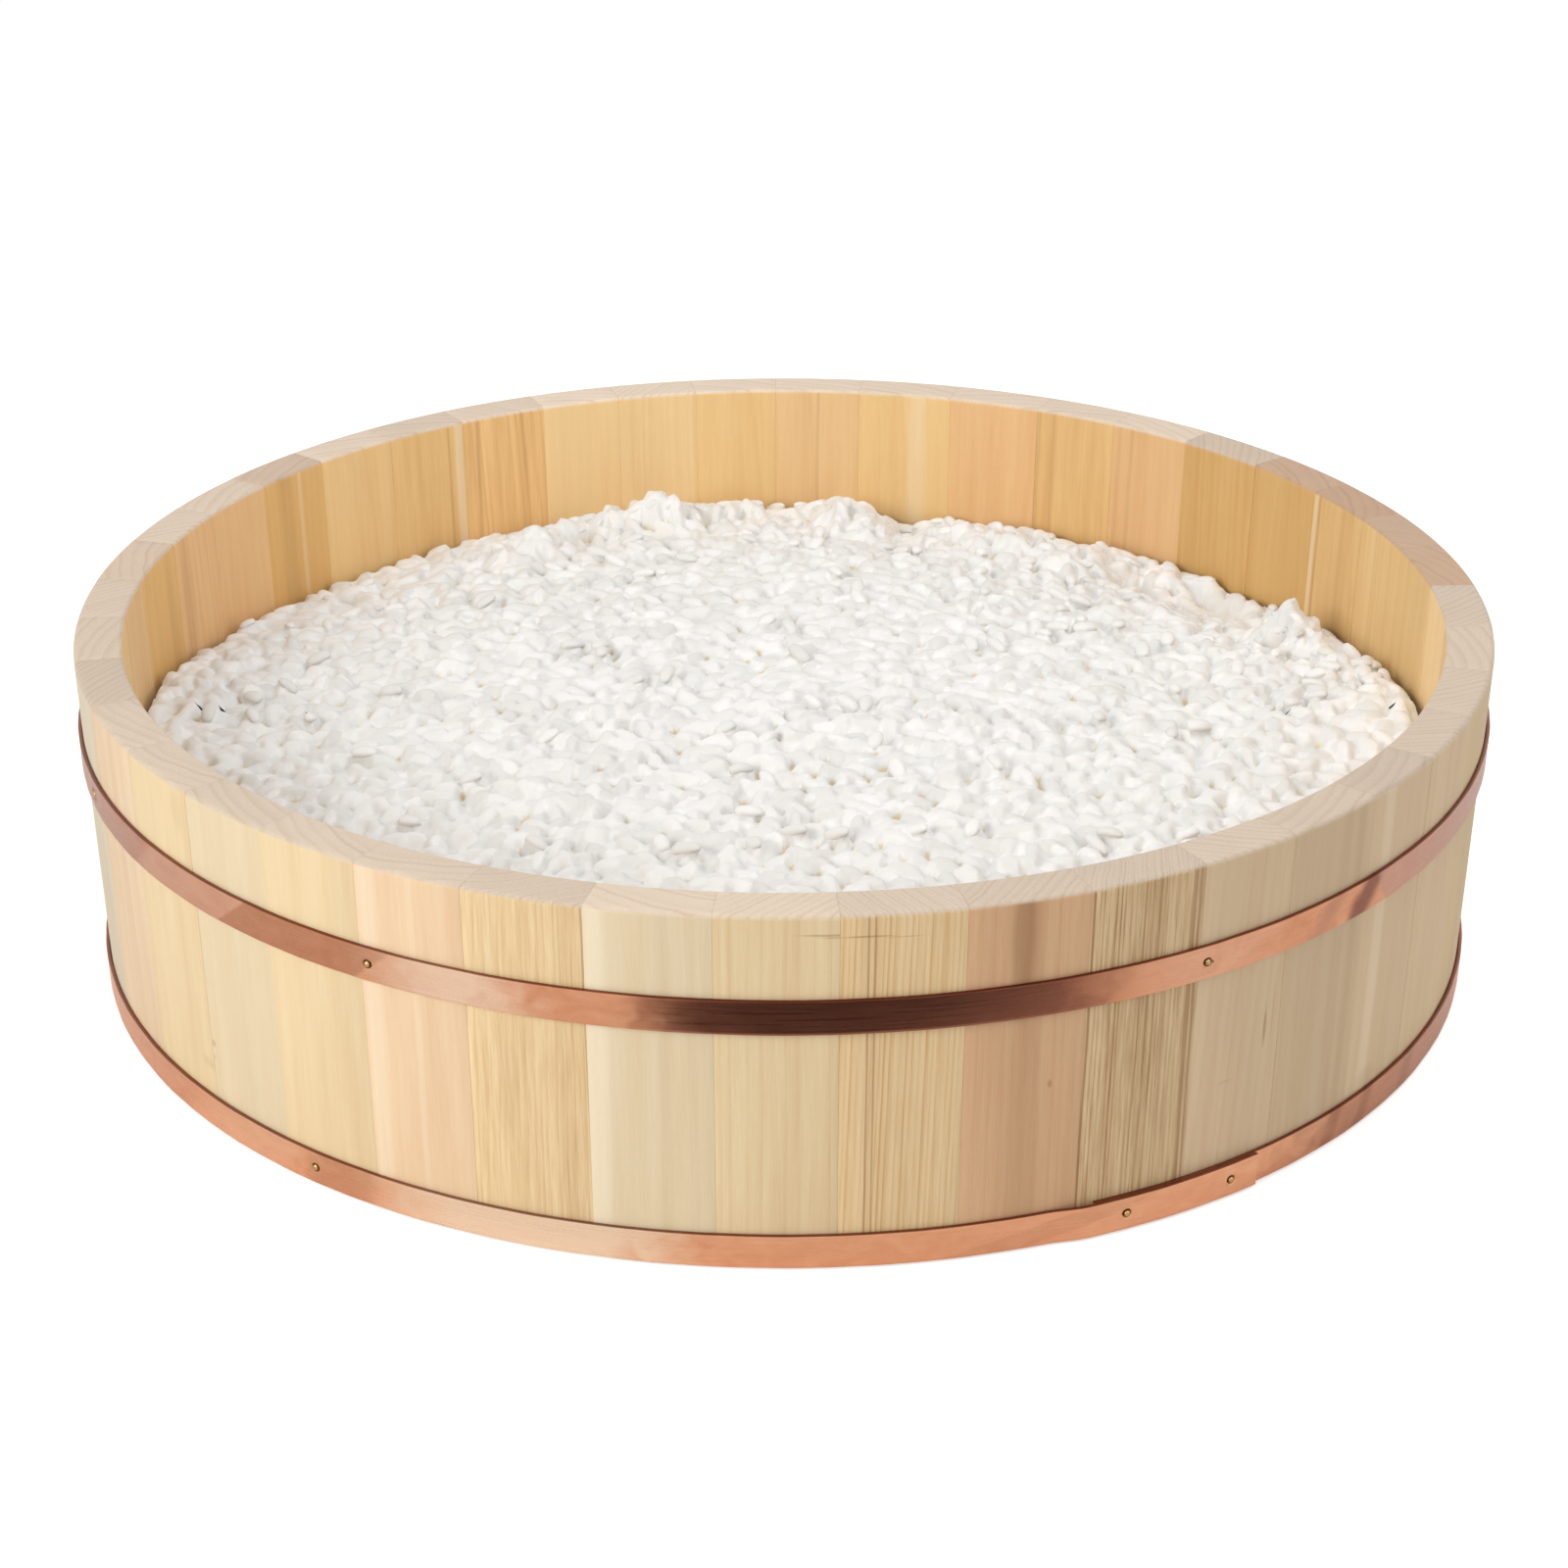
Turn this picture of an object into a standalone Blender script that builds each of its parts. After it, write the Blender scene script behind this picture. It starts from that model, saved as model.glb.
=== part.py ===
# Wooden sushi rice tub: a ring of upright staves, drawn together by two copper
# hoops around a boarded bottom, with cooked rice lying in it.
#
# Metres, +Z up. The origin is on the floor at the middle of the tub, and -Y is
# the front. An azimuth is in degrees from the front, positive towards +X.

import math
import random

import bmesh
import bpy
from mathutils import Matrix, Vector

# The staved wall
RIM_DIAMETER = 0.360
FOOT_DIAMETER = 0.3526
WALL_HEIGHT = 0.090
WALL_THICKNESS = 0.0121
RIM_ROUNDING = 0.0014
FOOT_CHAMFER = 0.0008
SEAM_GAP = 0.0003
FIRST_SEAM_AZIMUTH = -14.0
STAVE_FACETS = 3

# Width of each stave at the rim, in millimetres, and the tone of its wood. The
# widths are shares of the rim, so the ring always closes.
STAVES = (
    (28.5, "cream"), (27.5, "honey"), (28.0, "straight"), (28.5, "rosy"), (29.0, "brown"), (26.5, "cream"),
    (29.0, "tan"), (26.5, "honey"), (27.5, "tan"), (29.0, "honey"), (29.0, "tan"), (29.0, "cream"),
    (28.5, "honey"), (25.5, "honey"), (25.5, "straight"), (27.5, "brown"), (28.5, "honey"), (26.5, "rosy"),
    (26.5, "straight"), (29.0, "rosy"), (29.5, "honey"), (26.5, "tan"), (25.5, "honey"), (25.0, "cream"),
    (25.0, "rosy"), (28.0, "brown"), (26.5, "straight"), (27.5, "cream"), (26.0, "brown"), (26.5, "honey"),
    (25.5, "rosy"), (28.5, "brown"), (27.0, "tan"), (29.0, "honey"), (29.0, "cream"), (29.0, "rosy"),
    (28.5, "honey"), (27.5, "cream"), (28.5, "honey"), (27.5, "rosy"), (28.5, "straight"),
)

# The boarded bottom, let into a groove round the inside of the staves
BOTTOM_RECESS = 0.008
BOTTOM_THICKNESS = 0.010
GROOVE_DEPTH = 0.004
FIT_GAP = 0.0003
BOTTOM_ARC_STEP = 3.0

# Width of each bottom board in millimetres, from the front to the back, taken
# as shares of the bottom's diameter
BOARDS = (84.0, 92.0, 79.0, 85.0)

# The copper hoops, each one strip whose ends lap and are pinned through
HOOP_WIDTH = 0.0085
HOOP_THICKNESS = 0.0008
HOOP_GAP = 0.0003
LAP_LENGTH = 0.045
LAP_PIN_SETBACK = 0.008
LAP_RAMP = 0.010
LAP_END_CLEARANCE = 0.002
HOOP_ARC_STEP = 2.5
UPPER_HOOP_BELOW_RIM = 0.0205
LOWER_HOOP_ABOVE_FOOT = 0.0006
UPPER_LAP_AZIMUTH = 108.0
LOWER_LAP_AZIMUTH = 30.6
UPPER_PIN_AZIMUTHS = (-69.0, -31.0, 31.6, 171.0)
LOWER_PIN_AZIMUTHS = (-37.8, 98.0, 160.0, -100.0)

# The brass pins that hold the hoops to the staves
PIN_HEAD_DIAMETER = 0.0023
PIN_HEAD_HEIGHT = 0.0007
PIN_SHANK_DIAMETER = 0.0012
PIN_LENGTH = 0.0085
PIN_GAP = 0.00015
PIN_SIDES = 10

# The rice, which lies on the boards and reaches up the wall
RICE_DEPTH_AT_WALL = 0.036
RICE_CROWN = 0.010
RICE_WALL_GAP = 0.0008
RICE_CLUMP_HEIGHT = 0.0045
RICE_CLUMP_WIDTH = 0.024
RICE_EDGE_DROP = 0.0025
RICE_RINGS = 22
RICE_SECTORS = 92

RIM_RADIUS = RIM_DIAMETER / 2
FOOT_RADIUS = FOOT_DIAMETER / 2
WALL_LEAN = math.atan2(RIM_RADIUS - FOOT_RADIUS, WALL_HEIGHT)
BOTTOM_TOP = BOTTOM_RECESS + BOTTOM_THICKNESS
LAP_STEP = HOOP_THICKNESS + HOOP_GAP

WOOD_TONES = {
    "cream": (0.87, 0.72, 0.48),
    "honey": (0.83, 0.64, 0.38),
    "straight": (0.80, 0.60, 0.34),
    "rosy": (0.80, 0.60, 0.40),
    "brown": (0.70, 0.50, 0.29),
    "tan": (0.74, 0.56, 0.35),
}
COPPER = (0.66, 0.27, 0.15)
BRASS = (0.78, 0.60, 0.28)
RICE_WHITE = (0.88, 0.87, 0.82)


def remove_everything():
    for old in list(bpy.data.objects):
        bpy.data.objects.remove(old)


def make_material(name, colour, roughness, metallic=0.0):
    material = bpy.data.materials.new(name)
    material.use_nodes = True
    shader = material.node_tree.nodes["Principled BSDF"]
    shader.inputs["Base Color"].default_value = (*colour, 1.0)
    shader.inputs["Roughness"].default_value = roughness
    shader.inputs["Metallic"].default_value = metallic
    material.diffuse_color = (*colour, 1.0)
    return material


def make_object(name, bm, material):
    bmesh.ops.recalc_face_normals(bm, faces=bm.faces[:])
    mesh = bpy.data.meshes.new(name)
    bm.to_mesh(mesh)
    bm.free()
    if material is not None:
        mesh.materials.append(material)
    made = bpy.data.objects.new(name, mesh)
    bpy.context.collection.objects.link(made)
    return made


def shade_round(made, sharp_angle=30.0):
    made.data.shade_smooth()
    made.data.set_sharp_from_angle(angle=math.radians(sharp_angle))


def on_circle(radius, azimuth, height):
    turn = math.radians(azimuth)
    return Vector((radius * math.sin(turn), -radius * math.cos(turn), height))


def wall_outside(height):
    return FOOT_RADIUS + height * math.tan(WALL_LEAN)


def wall_inside(height):
    return wall_outside(height) - WALL_THICKNESS


def arc_degrees(length, radius):
    return math.degrees(length / radius)


def sweep_sections(name, sections, material):
    # Join closed sections of the same number of points into one capped solid
    bm = bmesh.new()
    rings = [[bm.verts.new(point) for point in section] for section in sections]
    count = len(rings[0])
    for near, far in zip(rings, rings[1:]):
        for i in range(count):
            k = (i + 1) % count
            bm.faces.new((near[i], near[k], far[k], far[i]))
    bm.faces.new(rings[0])
    bm.faces.new(rings[-1])
    return make_object(name, bm, material)


def rounded_corner(centre, radius, start, end, steps):
    # Points of an arc in the (radius, height) plane, angles in degrees
    angles = [math.radians(start + (end - start) * i / steps) for i in range(steps + 1)]
    return [(centre[0] + radius * math.cos(a), centre[1] + radius * math.sin(a)) for a in angles]


def stave_profile():
    # Outline of a stave seen from its edge: up the outside, over the rim, down
    # the inside past the groove, and across the foot
    rim_inside = wall_inside(WALL_HEIGHT)
    shoulder = WALL_HEIGHT - RIM_ROUNDING
    groove_low = BOTTOM_RECESS - FIT_GAP
    groove_high = BOTTOM_TOP + FIT_GAP
    points = [(FOOT_RADIUS - FOOT_CHAMFER, 0.0), (wall_outside(FOOT_CHAMFER), FOOT_CHAMFER)]
    points += rounded_corner((RIM_RADIUS - RIM_ROUNDING, shoulder), RIM_ROUNDING, 0.0, 90.0, 3)
    points += rounded_corner((rim_inside + RIM_ROUNDING, shoulder), RIM_ROUNDING, 90.0, 180.0, 3)
    points += [
        (wall_inside(groove_high), groove_high),
        (wall_inside(groove_high) + GROOVE_DEPTH, groove_high),
        (wall_inside(groove_low) + GROOVE_DEPTH, groove_low),
        (wall_inside(groove_low), groove_low),
        (wall_inside(FOOT_CHAMFER), FOOT_CHAMFER),
        (wall_inside(0.0) + FOOT_CHAMFER, 0.0),
    ]
    return points


def seam_azimuths():
    # Azimuth of each seam of the ring, the first one repeated at the end
    total = sum(width for width, tone in STAVES)
    seams = [FIRST_SEAM_AZIMUTH]
    for width, tone in STAVES:
        seams.append(seams[-1] + 360.0 * width / total)
    return seams


def make_staves(materials):
    profile = stave_profile()
    seams = seam_azimuths()
    half_gap = arc_degrees(SEAM_GAP / 2, RIM_RADIUS)
    staves = []
    for i, (width, tone) in enumerate(STAVES):
        start = seams[i] + half_gap
        end = seams[i + 1] - half_gap
        sections = []
        for k in range(STAVE_FACETS + 1):
            azimuth = start + (end - start) * k / STAVE_FACETS
            sections.append([on_circle(r, azimuth, z) for r, z in profile])
        stave = sweep_sections(f"stave_{i + 1:02d}", sections, materials[tone])
        shade_round(stave)
        staves.append(stave)
    return staves


def make_bottom(materials):
    # Boards run from side to side, edge to edge, and together make the disc
    disc_radius = wall_inside(BOTTOM_RECESS) + GROOVE_DEPTH - FIT_GAP
    total = sum(BOARDS)
    low = -disc_radius
    for i, width in enumerate(BOARDS):
        high = low + 2 * disc_radius * width / total
        front = low + (SEAM_GAP / 2 if i > 0 else 0.0)
        back = high - (SEAM_GAP / 2 if i < len(BOARDS) - 1 else 0.0)
        outline = board_outline(disc_radius, front, back)
        bm = bmesh.new()
        face = bm.faces.new([bm.verts.new((x, y, BOTTOM_RECESS)) for x, y in outline])
        grown = bmesh.ops.extrude_face_region(bm, geom=[face])
        raised = [v for v in grown["geom"] if isinstance(v, bmesh.types.BMVert)]
        bmesh.ops.translate(bm, vec=(0.0, 0.0, BOTTOM_THICKNESS), verts=raised)
        make_object(f"bottom_board_{i + 1}", bm, materials["honey"])
        low = high


def board_outline(radius, front, back):
    # The part of a disc between two lines across it, anticlockwise from above
    first = math.asin(max(-1.0, min(1.0, front / radius)))
    last = math.asin(max(-1.0, min(1.0, back / radius)))
    steps = max(2, math.ceil(math.degrees(last - first) / BOTTOM_ARC_STEP))
    angles = [first + (last - first) * k / steps for k in range(steps + 1)]
    right = [(radius * math.cos(a), radius * math.sin(a)) for a in angles]
    left = [(-x, y) for x, y in reversed(right)]
    outline = []
    for point in right + left:
        if not outline or math.dist(point, outline[-1]) > SEAM_GAP / 10:
            outline.append(point)
    if math.dist(outline[0], outline[-1]) < SEAM_GAP / 10:
        outline.pop()
    return outline


def hoop_section(azimuth, middle, lift):
    # Cross-section of the strip, which lies flat against the leaning wall
    along = Vector((math.sin(WALL_LEAN), math.cos(WALL_LEAN)))
    outward = Vector((math.cos(WALL_LEAN), -math.sin(WALL_LEAN)))
    foot = Vector((wall_outside(middle), middle)) + outward * (HOOP_GAP + lift)
    corners = []
    for side, depth in ((-1, 0), (-1, 1), (1, 1), (1, 0)):
        spot = foot + along * (side * HOOP_WIDTH / 2) + outward * (depth * HOOP_THICKNESS)
        corners.append(on_circle(spot.x, azimuth, spot.y))
    return corners


def make_hoop(name, middle, lap_azimuth, material):
    # The strip starts under the lap, goes once round, steps out over its own
    # start and ends on top of it
    radius = wall_outside(middle)
    lap = arc_degrees(LAP_LENGTH, radius)
    ramp = arc_degrees(LAP_RAMP, radius)
    clear = arc_degrees(LAP_END_CLEARANCE, radius)
    start = lap_azimuth - lap / 2
    ramp_end = start + 360.0 - clear
    stops = [(start, ramp_end - ramp), (ramp_end - ramp, ramp_end), (ramp_end, start + 360.0 + lap)]
    azimuths = [start]
    for low, high in stops:
        steps = max(4, math.ceil((high - low) / HOOP_ARC_STEP))
        azimuths += [low + (high - low) * k / steps for k in range(1, steps + 1)]
    sections = []
    for azimuth in azimuths:
        climb = min(1.0, max(0.0, (azimuth - (ramp_end - ramp)) / ramp))
        lift = LAP_STEP * climb * climb * (3.0 - 2.0 * climb)
        sections.append(hoop_section(azimuth, middle, lift))
    hoop = sweep_sections(name, sections, material)
    shade_round(hoop)
    return hoop


def lap_pin_azimuths(middle, lap_azimuth):
    spread = arc_degrees(LAP_LENGTH / 2 - LAP_PIN_SETBACK, wall_outside(middle))
    return (lap_azimuth - spread, lap_azimuth + spread)


def pin_frame(azimuth, middle, lift):
    # A frame on the strip's outer face whose Z axis points straight out of it
    outward = on_circle(math.cos(WALL_LEAN), azimuth, -math.sin(WALL_LEAN))
    sideways = on_circle(1.0, azimuth + 90.0, 0.0)
    upward = outward.cross(sideways)
    seat = on_circle(wall_outside(middle), azimuth, middle) + outward * (HOOP_GAP + HOOP_THICKNESS + lift)
    frame = Matrix((sideways, upward, outward)).transposed().to_4x4()
    frame.translation = seat
    return frame


def turned_solid(name, profile, frame, material):
    # Turn a (radius, height) profile whose first and last points are on the axis
    bm = bmesh.new()
    tip = bm.verts.new((0.0, 0.0, profile[0][1]))
    end = bm.verts.new((0.0, 0.0, profile[-1][1]))
    rings = []
    for radius, height in profile[1:-1]:
        turns = [math.tau * k / PIN_SIDES for k in range(PIN_SIDES)]
        rings.append([bm.verts.new((radius * math.cos(t), radius * math.sin(t), height)) for t in turns])
    for k in range(PIN_SIDES):
        n = (k + 1) % PIN_SIDES
        bm.faces.new((tip, rings[0][k], rings[0][n]))
        bm.faces.new((end, rings[-1][n], rings[-1][k]))
        for near, far in zip(rings, rings[1:]):
            bm.faces.new((near[k], far[k], far[n], near[n]))
    bmesh.ops.transform(bm, matrix=frame, verts=bm.verts[:])
    made = make_object(name, bm, material)
    shade_round(made)
    return made


def make_pin(name, frame, material):
    head = PIN_HEAD_DIAMETER / 2
    shank = PIN_SHANK_DIAMETER / 2
    profile = [
        (0.0, PIN_GAP + PIN_HEAD_HEIGHT),
        (head * 0.62, PIN_GAP + PIN_HEAD_HEIGHT * 0.8),
        (head, PIN_GAP + PIN_HEAD_HEIGHT * 0.25),
        (head, PIN_GAP),
        (shank, PIN_GAP),
        (shank, -PIN_LENGTH + PIN_SHANK_DIAMETER),
        (0.0, -PIN_LENGTH),
    ]
    turned_solid(name, profile, frame, material)


def make_pin_hole(name, frame):
    # A guide that only cuts: it is never drawn
    bore = PIN_SHANK_DIAMETER / 2 + PIN_GAP
    reach = PIN_LENGTH + PIN_GAP
    profile = [(0.0, HOOP_WIDTH), (bore, HOOP_WIDTH), (bore, -reach), (0.0, -reach)]
    cutter = turned_solid(name, profile, frame, None)
    cutter.hide_render = True
    cutter.display_type = "WIRE"
    return cutter


def cut_hole(target, cutter):
    cut = target.modifiers.new("pin hole", "BOOLEAN")
    cut.operation = "DIFFERENCE"
    cut.solver = "EXACT"
    cut.object = cutter


def staves_behind(azimuth, staves):
    # Staves that a pin's hole at this azimuth reaches
    seams = seam_azimuths()
    reach = arc_degrees(PIN_SHANK_DIAMETER / 2 + PIN_GAP + SEAM_GAP, FOOT_RADIUS - WALL_THICKNESS)
    hit = []
    for i, stave in enumerate(staves):
        half = (seams[i + 1] - seams[i]) / 2
        middle = seams[i] + half
        off = (azimuth - middle + 180.0) % 360.0 - 180.0
        if abs(off) < half + reach:
            hit.append(stave)
    return hit


def fit_hoop(label, middle, lap_azimuth, pin_azimuths, staves, copper, brass):
    hoop = make_hoop(f"hoop_{label}", middle, lap_azimuth, copper)
    places = [(azimuth, 0.0) for azimuth in pin_azimuths]
    places += [(azimuth, LAP_STEP) for azimuth in lap_pin_azimuths(middle, lap_azimuth)]
    for i, (azimuth, lift) in enumerate(places):
        frame = pin_frame(azimuth, middle, lift)
        make_pin(f"pin_{label}_{i + 1}", frame, brass)
        cutter = make_pin_hole(f"pin_hole_{label}_{i + 1}", frame)
        for target in [hoop] + staves_behind(azimuth, staves):
            cut_hole(target, cutter)


def rice_clumps(radius):
    # Round clumps in a sunflower pattern, every other one a hollow
    spread = random.Random(11)
    count = max(1, round((radius / (RICE_CLUMP_WIDTH * 0.55)) ** 2))
    clumps = []
    for i in range(count):
        out = radius * math.sqrt((i + 0.5) / count)
        turn = i * math.radians(137.508) + spread.uniform(-0.25, 0.25)
        size = RICE_CLUMP_WIDTH * spread.uniform(0.35, 0.6)
        rise = spread.uniform(-0.9, 1.0)
        clumps.append((out * math.cos(turn), out * math.sin(turn), size, rise))
    return clumps


def rice_height(x, y, radius, clumps):
    share = math.hypot(x, y) / radius
    crown = RICE_CROWN * (1.0 - share ** 2)
    edge = RICE_EDGE_DROP * max(0.0, (share - 0.93) / 0.07) ** 2
    bumps = 0.0
    for cx, cy, size, rise in clumps:
        away = ((x - cx) ** 2 + (y - cy) ** 2) / size ** 2
        if away < 6.0:
            bumps += rise * math.exp(-away)
    bumps = RICE_CLUMP_HEIGHT * math.tanh(bumps)
    return RICE_DEPTH_AT_WALL + crown - edge + bumps * (1.0 - 0.6 * share ** 8)


def make_rice(material):
    floor = BOTTOM_TOP + FIT_GAP
    foot = wall_inside(floor) - RICE_WALL_GAP
    reach = wall_inside(floor + RICE_DEPTH_AT_WALL) - RICE_WALL_GAP
    clumps = rice_clumps(reach)
    bm = bmesh.new()
    peak = bm.verts.new((0.0, 0.0, floor + rice_height(0.0, 0.0, reach, clumps)))
    rings = []
    for k in range(1, RICE_RINGS + 1):
        ring = []
        for s in range(RICE_SECTORS):
            spot = on_circle(reach * k / RICE_RINGS, 360.0 * s / RICE_SECTORS, 0.0)
            height = floor + rice_height(spot.x, spot.y, reach, clumps)
            if k == RICE_RINGS:
                spot = on_circle(wall_inside(height) - RICE_WALL_GAP, 360.0 * s / RICE_SECTORS, 0.0)
            ring.append(bm.verts.new((spot.x, spot.y, height)))
        rings.append(ring)
    base = [bm.verts.new(on_circle(foot, 360.0 * s / RICE_SECTORS, floor)) for s in range(RICE_SECTORS)]
    rings.append(base)
    for s in range(RICE_SECTORS):
        n = (s + 1) % RICE_SECTORS
        bm.faces.new((peak, rings[0][s], rings[0][n]))
        for near, far in zip(rings, rings[1:]):
            bm.faces.new((near[s], far[s], far[n], near[n]))
    bm.faces.new(base)
    rice = make_object("rice", bm, material)
    shade_round(rice, 50.0)
    return rice


def build_tub():
    remove_everything()
    woods = {}
    for tone, colour in WOOD_TONES.items():
        woods[tone] = make_material(f"wood {tone}", colour, 0.55)
    copper = make_material("copper strip", COPPER, 0.30, 1.0)
    brass = make_material("brass pin", BRASS, 0.28, 1.0)
    rice_white = make_material("cooked rice", RICE_WHITE, 0.35)

    staves = make_staves(woods)
    make_bottom(woods)
    upper_middle = WALL_HEIGHT - UPPER_HOOP_BELOW_RIM - HOOP_WIDTH / 2
    lower_middle = LOWER_HOOP_ABOVE_FOOT + HOOP_WIDTH / 2
    fit_hoop("upper", upper_middle, UPPER_LAP_AZIMUTH, UPPER_PIN_AZIMUTHS, staves, copper, brass)
    fit_hoop("lower", lower_middle, LOWER_LAP_AZIMUTH, LOWER_PIN_AZIMUTHS, staves, copper, brass)
    make_rice(rice_white)


build_tub()
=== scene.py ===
# Sushi rice tub: planed wooden staves, copper hoops on brass pins, and cooked rice.
# Metres. The front is -Y, and an azimuth is in degrees from the front, positive towards +X.
import math
from functools import partial

import bpy
import numpy as np
from mathutils import Matrix, Vector


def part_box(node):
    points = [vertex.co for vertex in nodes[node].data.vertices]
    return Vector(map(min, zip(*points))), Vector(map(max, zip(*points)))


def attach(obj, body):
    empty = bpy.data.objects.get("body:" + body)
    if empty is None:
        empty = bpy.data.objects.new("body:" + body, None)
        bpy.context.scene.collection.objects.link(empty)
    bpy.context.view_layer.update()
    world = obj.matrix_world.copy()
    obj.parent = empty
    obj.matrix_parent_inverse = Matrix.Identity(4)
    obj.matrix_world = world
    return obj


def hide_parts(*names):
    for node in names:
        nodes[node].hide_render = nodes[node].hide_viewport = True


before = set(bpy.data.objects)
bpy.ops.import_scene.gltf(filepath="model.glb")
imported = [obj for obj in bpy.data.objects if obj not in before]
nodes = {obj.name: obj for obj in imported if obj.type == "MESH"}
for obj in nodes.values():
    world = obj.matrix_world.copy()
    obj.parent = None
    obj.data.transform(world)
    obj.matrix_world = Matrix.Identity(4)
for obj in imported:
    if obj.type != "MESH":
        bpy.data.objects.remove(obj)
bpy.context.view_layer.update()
bpy.ops.object.select_all(action="DESELECT")

tub = {
    "rimRadius": 0.180,
    "footRadius": 0.1763,
    "height": 0.090,
    "wall": 0.0121,
}
lean = math.atan2(tub["rimRadius"] - tub["footRadius"], tub["height"])


def around(radius, azimuth, height):
    turn = math.radians(azimuth)
    return Vector((radius * math.sin(turn), -radius * math.cos(turn), height))


def outsideAt(height):
    return tub["footRadius"] + height * math.tan(lean)


def insideAt(height):
    return outsideAt(height) - tub["wall"]


def degreesOf(length, radius):
    return math.degrees(length / radius)


def softStep(value, low, high):
    share = np.clip((value - low) / (high - low), 0.0, 1.0)
    return share * share * (3.0 - 2.0 * share)


def hexColour(code):
    # sRGB as given, to the linear values that the nodes want
    parts = [int(code[i:i + 2], 16) / 255 for i in (1, 3, 5)]
    linear = [c / 12.92 if c <= 0.04045 else ((c + 0.055) / 1.055) ** 2.4 for c in parts]
    return (*linear, 1.0)


def fillSockets(node, inputs):
    # in order or by name: an output is linked, a hex code is a colour, and the rest are values
    for socket, value in inputs.items() if isinstance(inputs, dict) else enumerate(inputs):
        if isinstance(value, bpy.types.NodeSocket):
            node.id_data.links.new(value, node.inputs[socket])
        elif isinstance(value, str):
            node.inputs[socket].default_value = hexColour(value)
        else:
            node.inputs[socket].default_value = value


def addNode(tree, kind, inputs=(), out=0, **settings):
    # one node with its settings, "Math.ADD" being the Math node set to ADD; gives back the
    # output asked for
    kind, dot, operation = kind.partition(".")
    node = tree.nodes.new("ShaderNode" + kind)
    if operation:
        node.operation = operation
    if kind == "Mix":
        # only colours are mixed here, and these are a colour mix's sockets
        node.data_type, out, inputs = "RGBA", 2, dict(zip((0, 6, 7), inputs))
    for name, value in settings.items():
        setattr(node, name, value)
    fillSockets(node, inputs)
    return node.outputs[out]


def newMaterial(name, values):
    material = bpy.data.materials.new(name)
    material.use_nodes = True
    shader = material.node_tree.nodes["Principled BSDF"]
    fillSockets(shader, values)
    return material, shader, partial(addNode, material.node_tree)


def take(piece):
    bpy.ops.object.select_all(action="DESELECT")
    piece.select_set(True)
    bpy.context.view_layer.objects.active = piece


def editAll(piece):
    take(piece)
    bpy.ops.object.mode_set(mode="EDIT")
    bpy.ops.mesh.select_all(action="SELECT")


def leaveEdit():
    bpy.ops.object.mode_set(mode="OBJECT")


def pick(piece, kind, test):
    # select in edit mode by place or normal, the way one would click them
    bpy.ops.object.mode_set(mode="EDIT")
    bpy.ops.mesh.select_mode(type=kind)
    bpy.ops.mesh.select_all(action="DESELECT")
    leaveEdit()
    for part in {"VERT": piece.data.vertices, "FACE": piece.data.polygons}[kind]:
        part.select = bool(test(part))
    bpy.ops.object.mode_set(mode="EDIT")


def cut(place, normal, **settings):
    bpy.ops.mesh.select_all(action="SELECT")
    bpy.ops.mesh.bisect(plane_co=place, plane_no=normal, **settings)


def copyOf(piece, name):
    twin = piece.copy()
    twin.data = piece.data.copy()
    twin.name = twin.data.name = name
    bpy.context.collection.objects.link(twin)
    return twin


def cleanMesh(piece, merge=True):
    editAll(piece)
    if merge:
        bpy.ops.mesh.remove_doubles(threshold=0.000001)
    bpy.ops.mesh.normals_make_consistent(inside=False)
    leaveEdit()


def applyPlace(piece):
    take(piece)
    bpy.ops.object.transform_apply(location=True, rotation=True, scale=True)


def bevelEdges(piece, width, segments, angle):
    take(piece)
    bevel = piece.modifiers.new("worn edge", "BEVEL")
    bevel.width = width
    bevel.segments = segments
    bevel.limit_method = "ANGLE"
    bevel.angle_limit = math.radians(angle)
    bpy.ops.object.modifier_apply(modifier=bevel.name)


def readSpots(mesh):
    spots = np.empty(len(mesh.vertices) * 3)
    mesh.vertices.foreach_get("co", spots)
    return spots.reshape(-1, 3)


def writeSpots(mesh, spots):
    mesh.vertices.foreach_set("co", spots.ravel())
    mesh.update()


def addAttribute(mesh, name, values):
    attribute = mesh.attributes.new(name, "FLOAT", "POINT")
    attribute.data.foreach_set("value", np.array(values, np.float32))


# camera, lamps and floor
studio = {
    "cameraPlace": (0.0, -0.8993, 0.4518),
    "cameraTilt": 65.31,
    "lens": 86.6,
    "sensor": 36.0,
    # azimuth and elevation in degrees, how far off, how wide, watts and tint
    "lamps": {
        "windowSideLamp": (-50.0, 26.0, 1.5, 0.9, 11.0, "#fffdf8"),
        "roomSideLamp": (66.0, 22.0, 1.5, 0.9, 2.6, "#fff4e6"),
        "softTopLamp": (100.0, 70.0, 0.75, 0.35, 1.75, "#ffffff"),
    },
    "lampsAimAt": (0.0, 0.0, 0.05),
    "skyStrength": 0.50,
    "skyTint": "#fdfdff",
    "floorSize": 12.0,
    "floorWhite": 0.80,
    "floorGlow": 0.55,  # to the camera
    "floorGlint": 0.05,  # to polished metal
    "cardCorners": ((-0.06, -0.60), (0.16, -0.25)),
    "cardColour": "#2b1a16",
}

tilt = (math.radians(studio["cameraTilt"]), 0.0, 0.0)
bpy.ops.object.camera_add(location=studio["cameraPlace"], rotation=tilt)
camera = bpy.context.object
camera.data.lens = studio["lens"]
camera.data.sensor_width = studio["sensor"]
bpy.context.scene.camera = camera
bpy.context.scene.view_settings.view_transform = "Standard"

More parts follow.
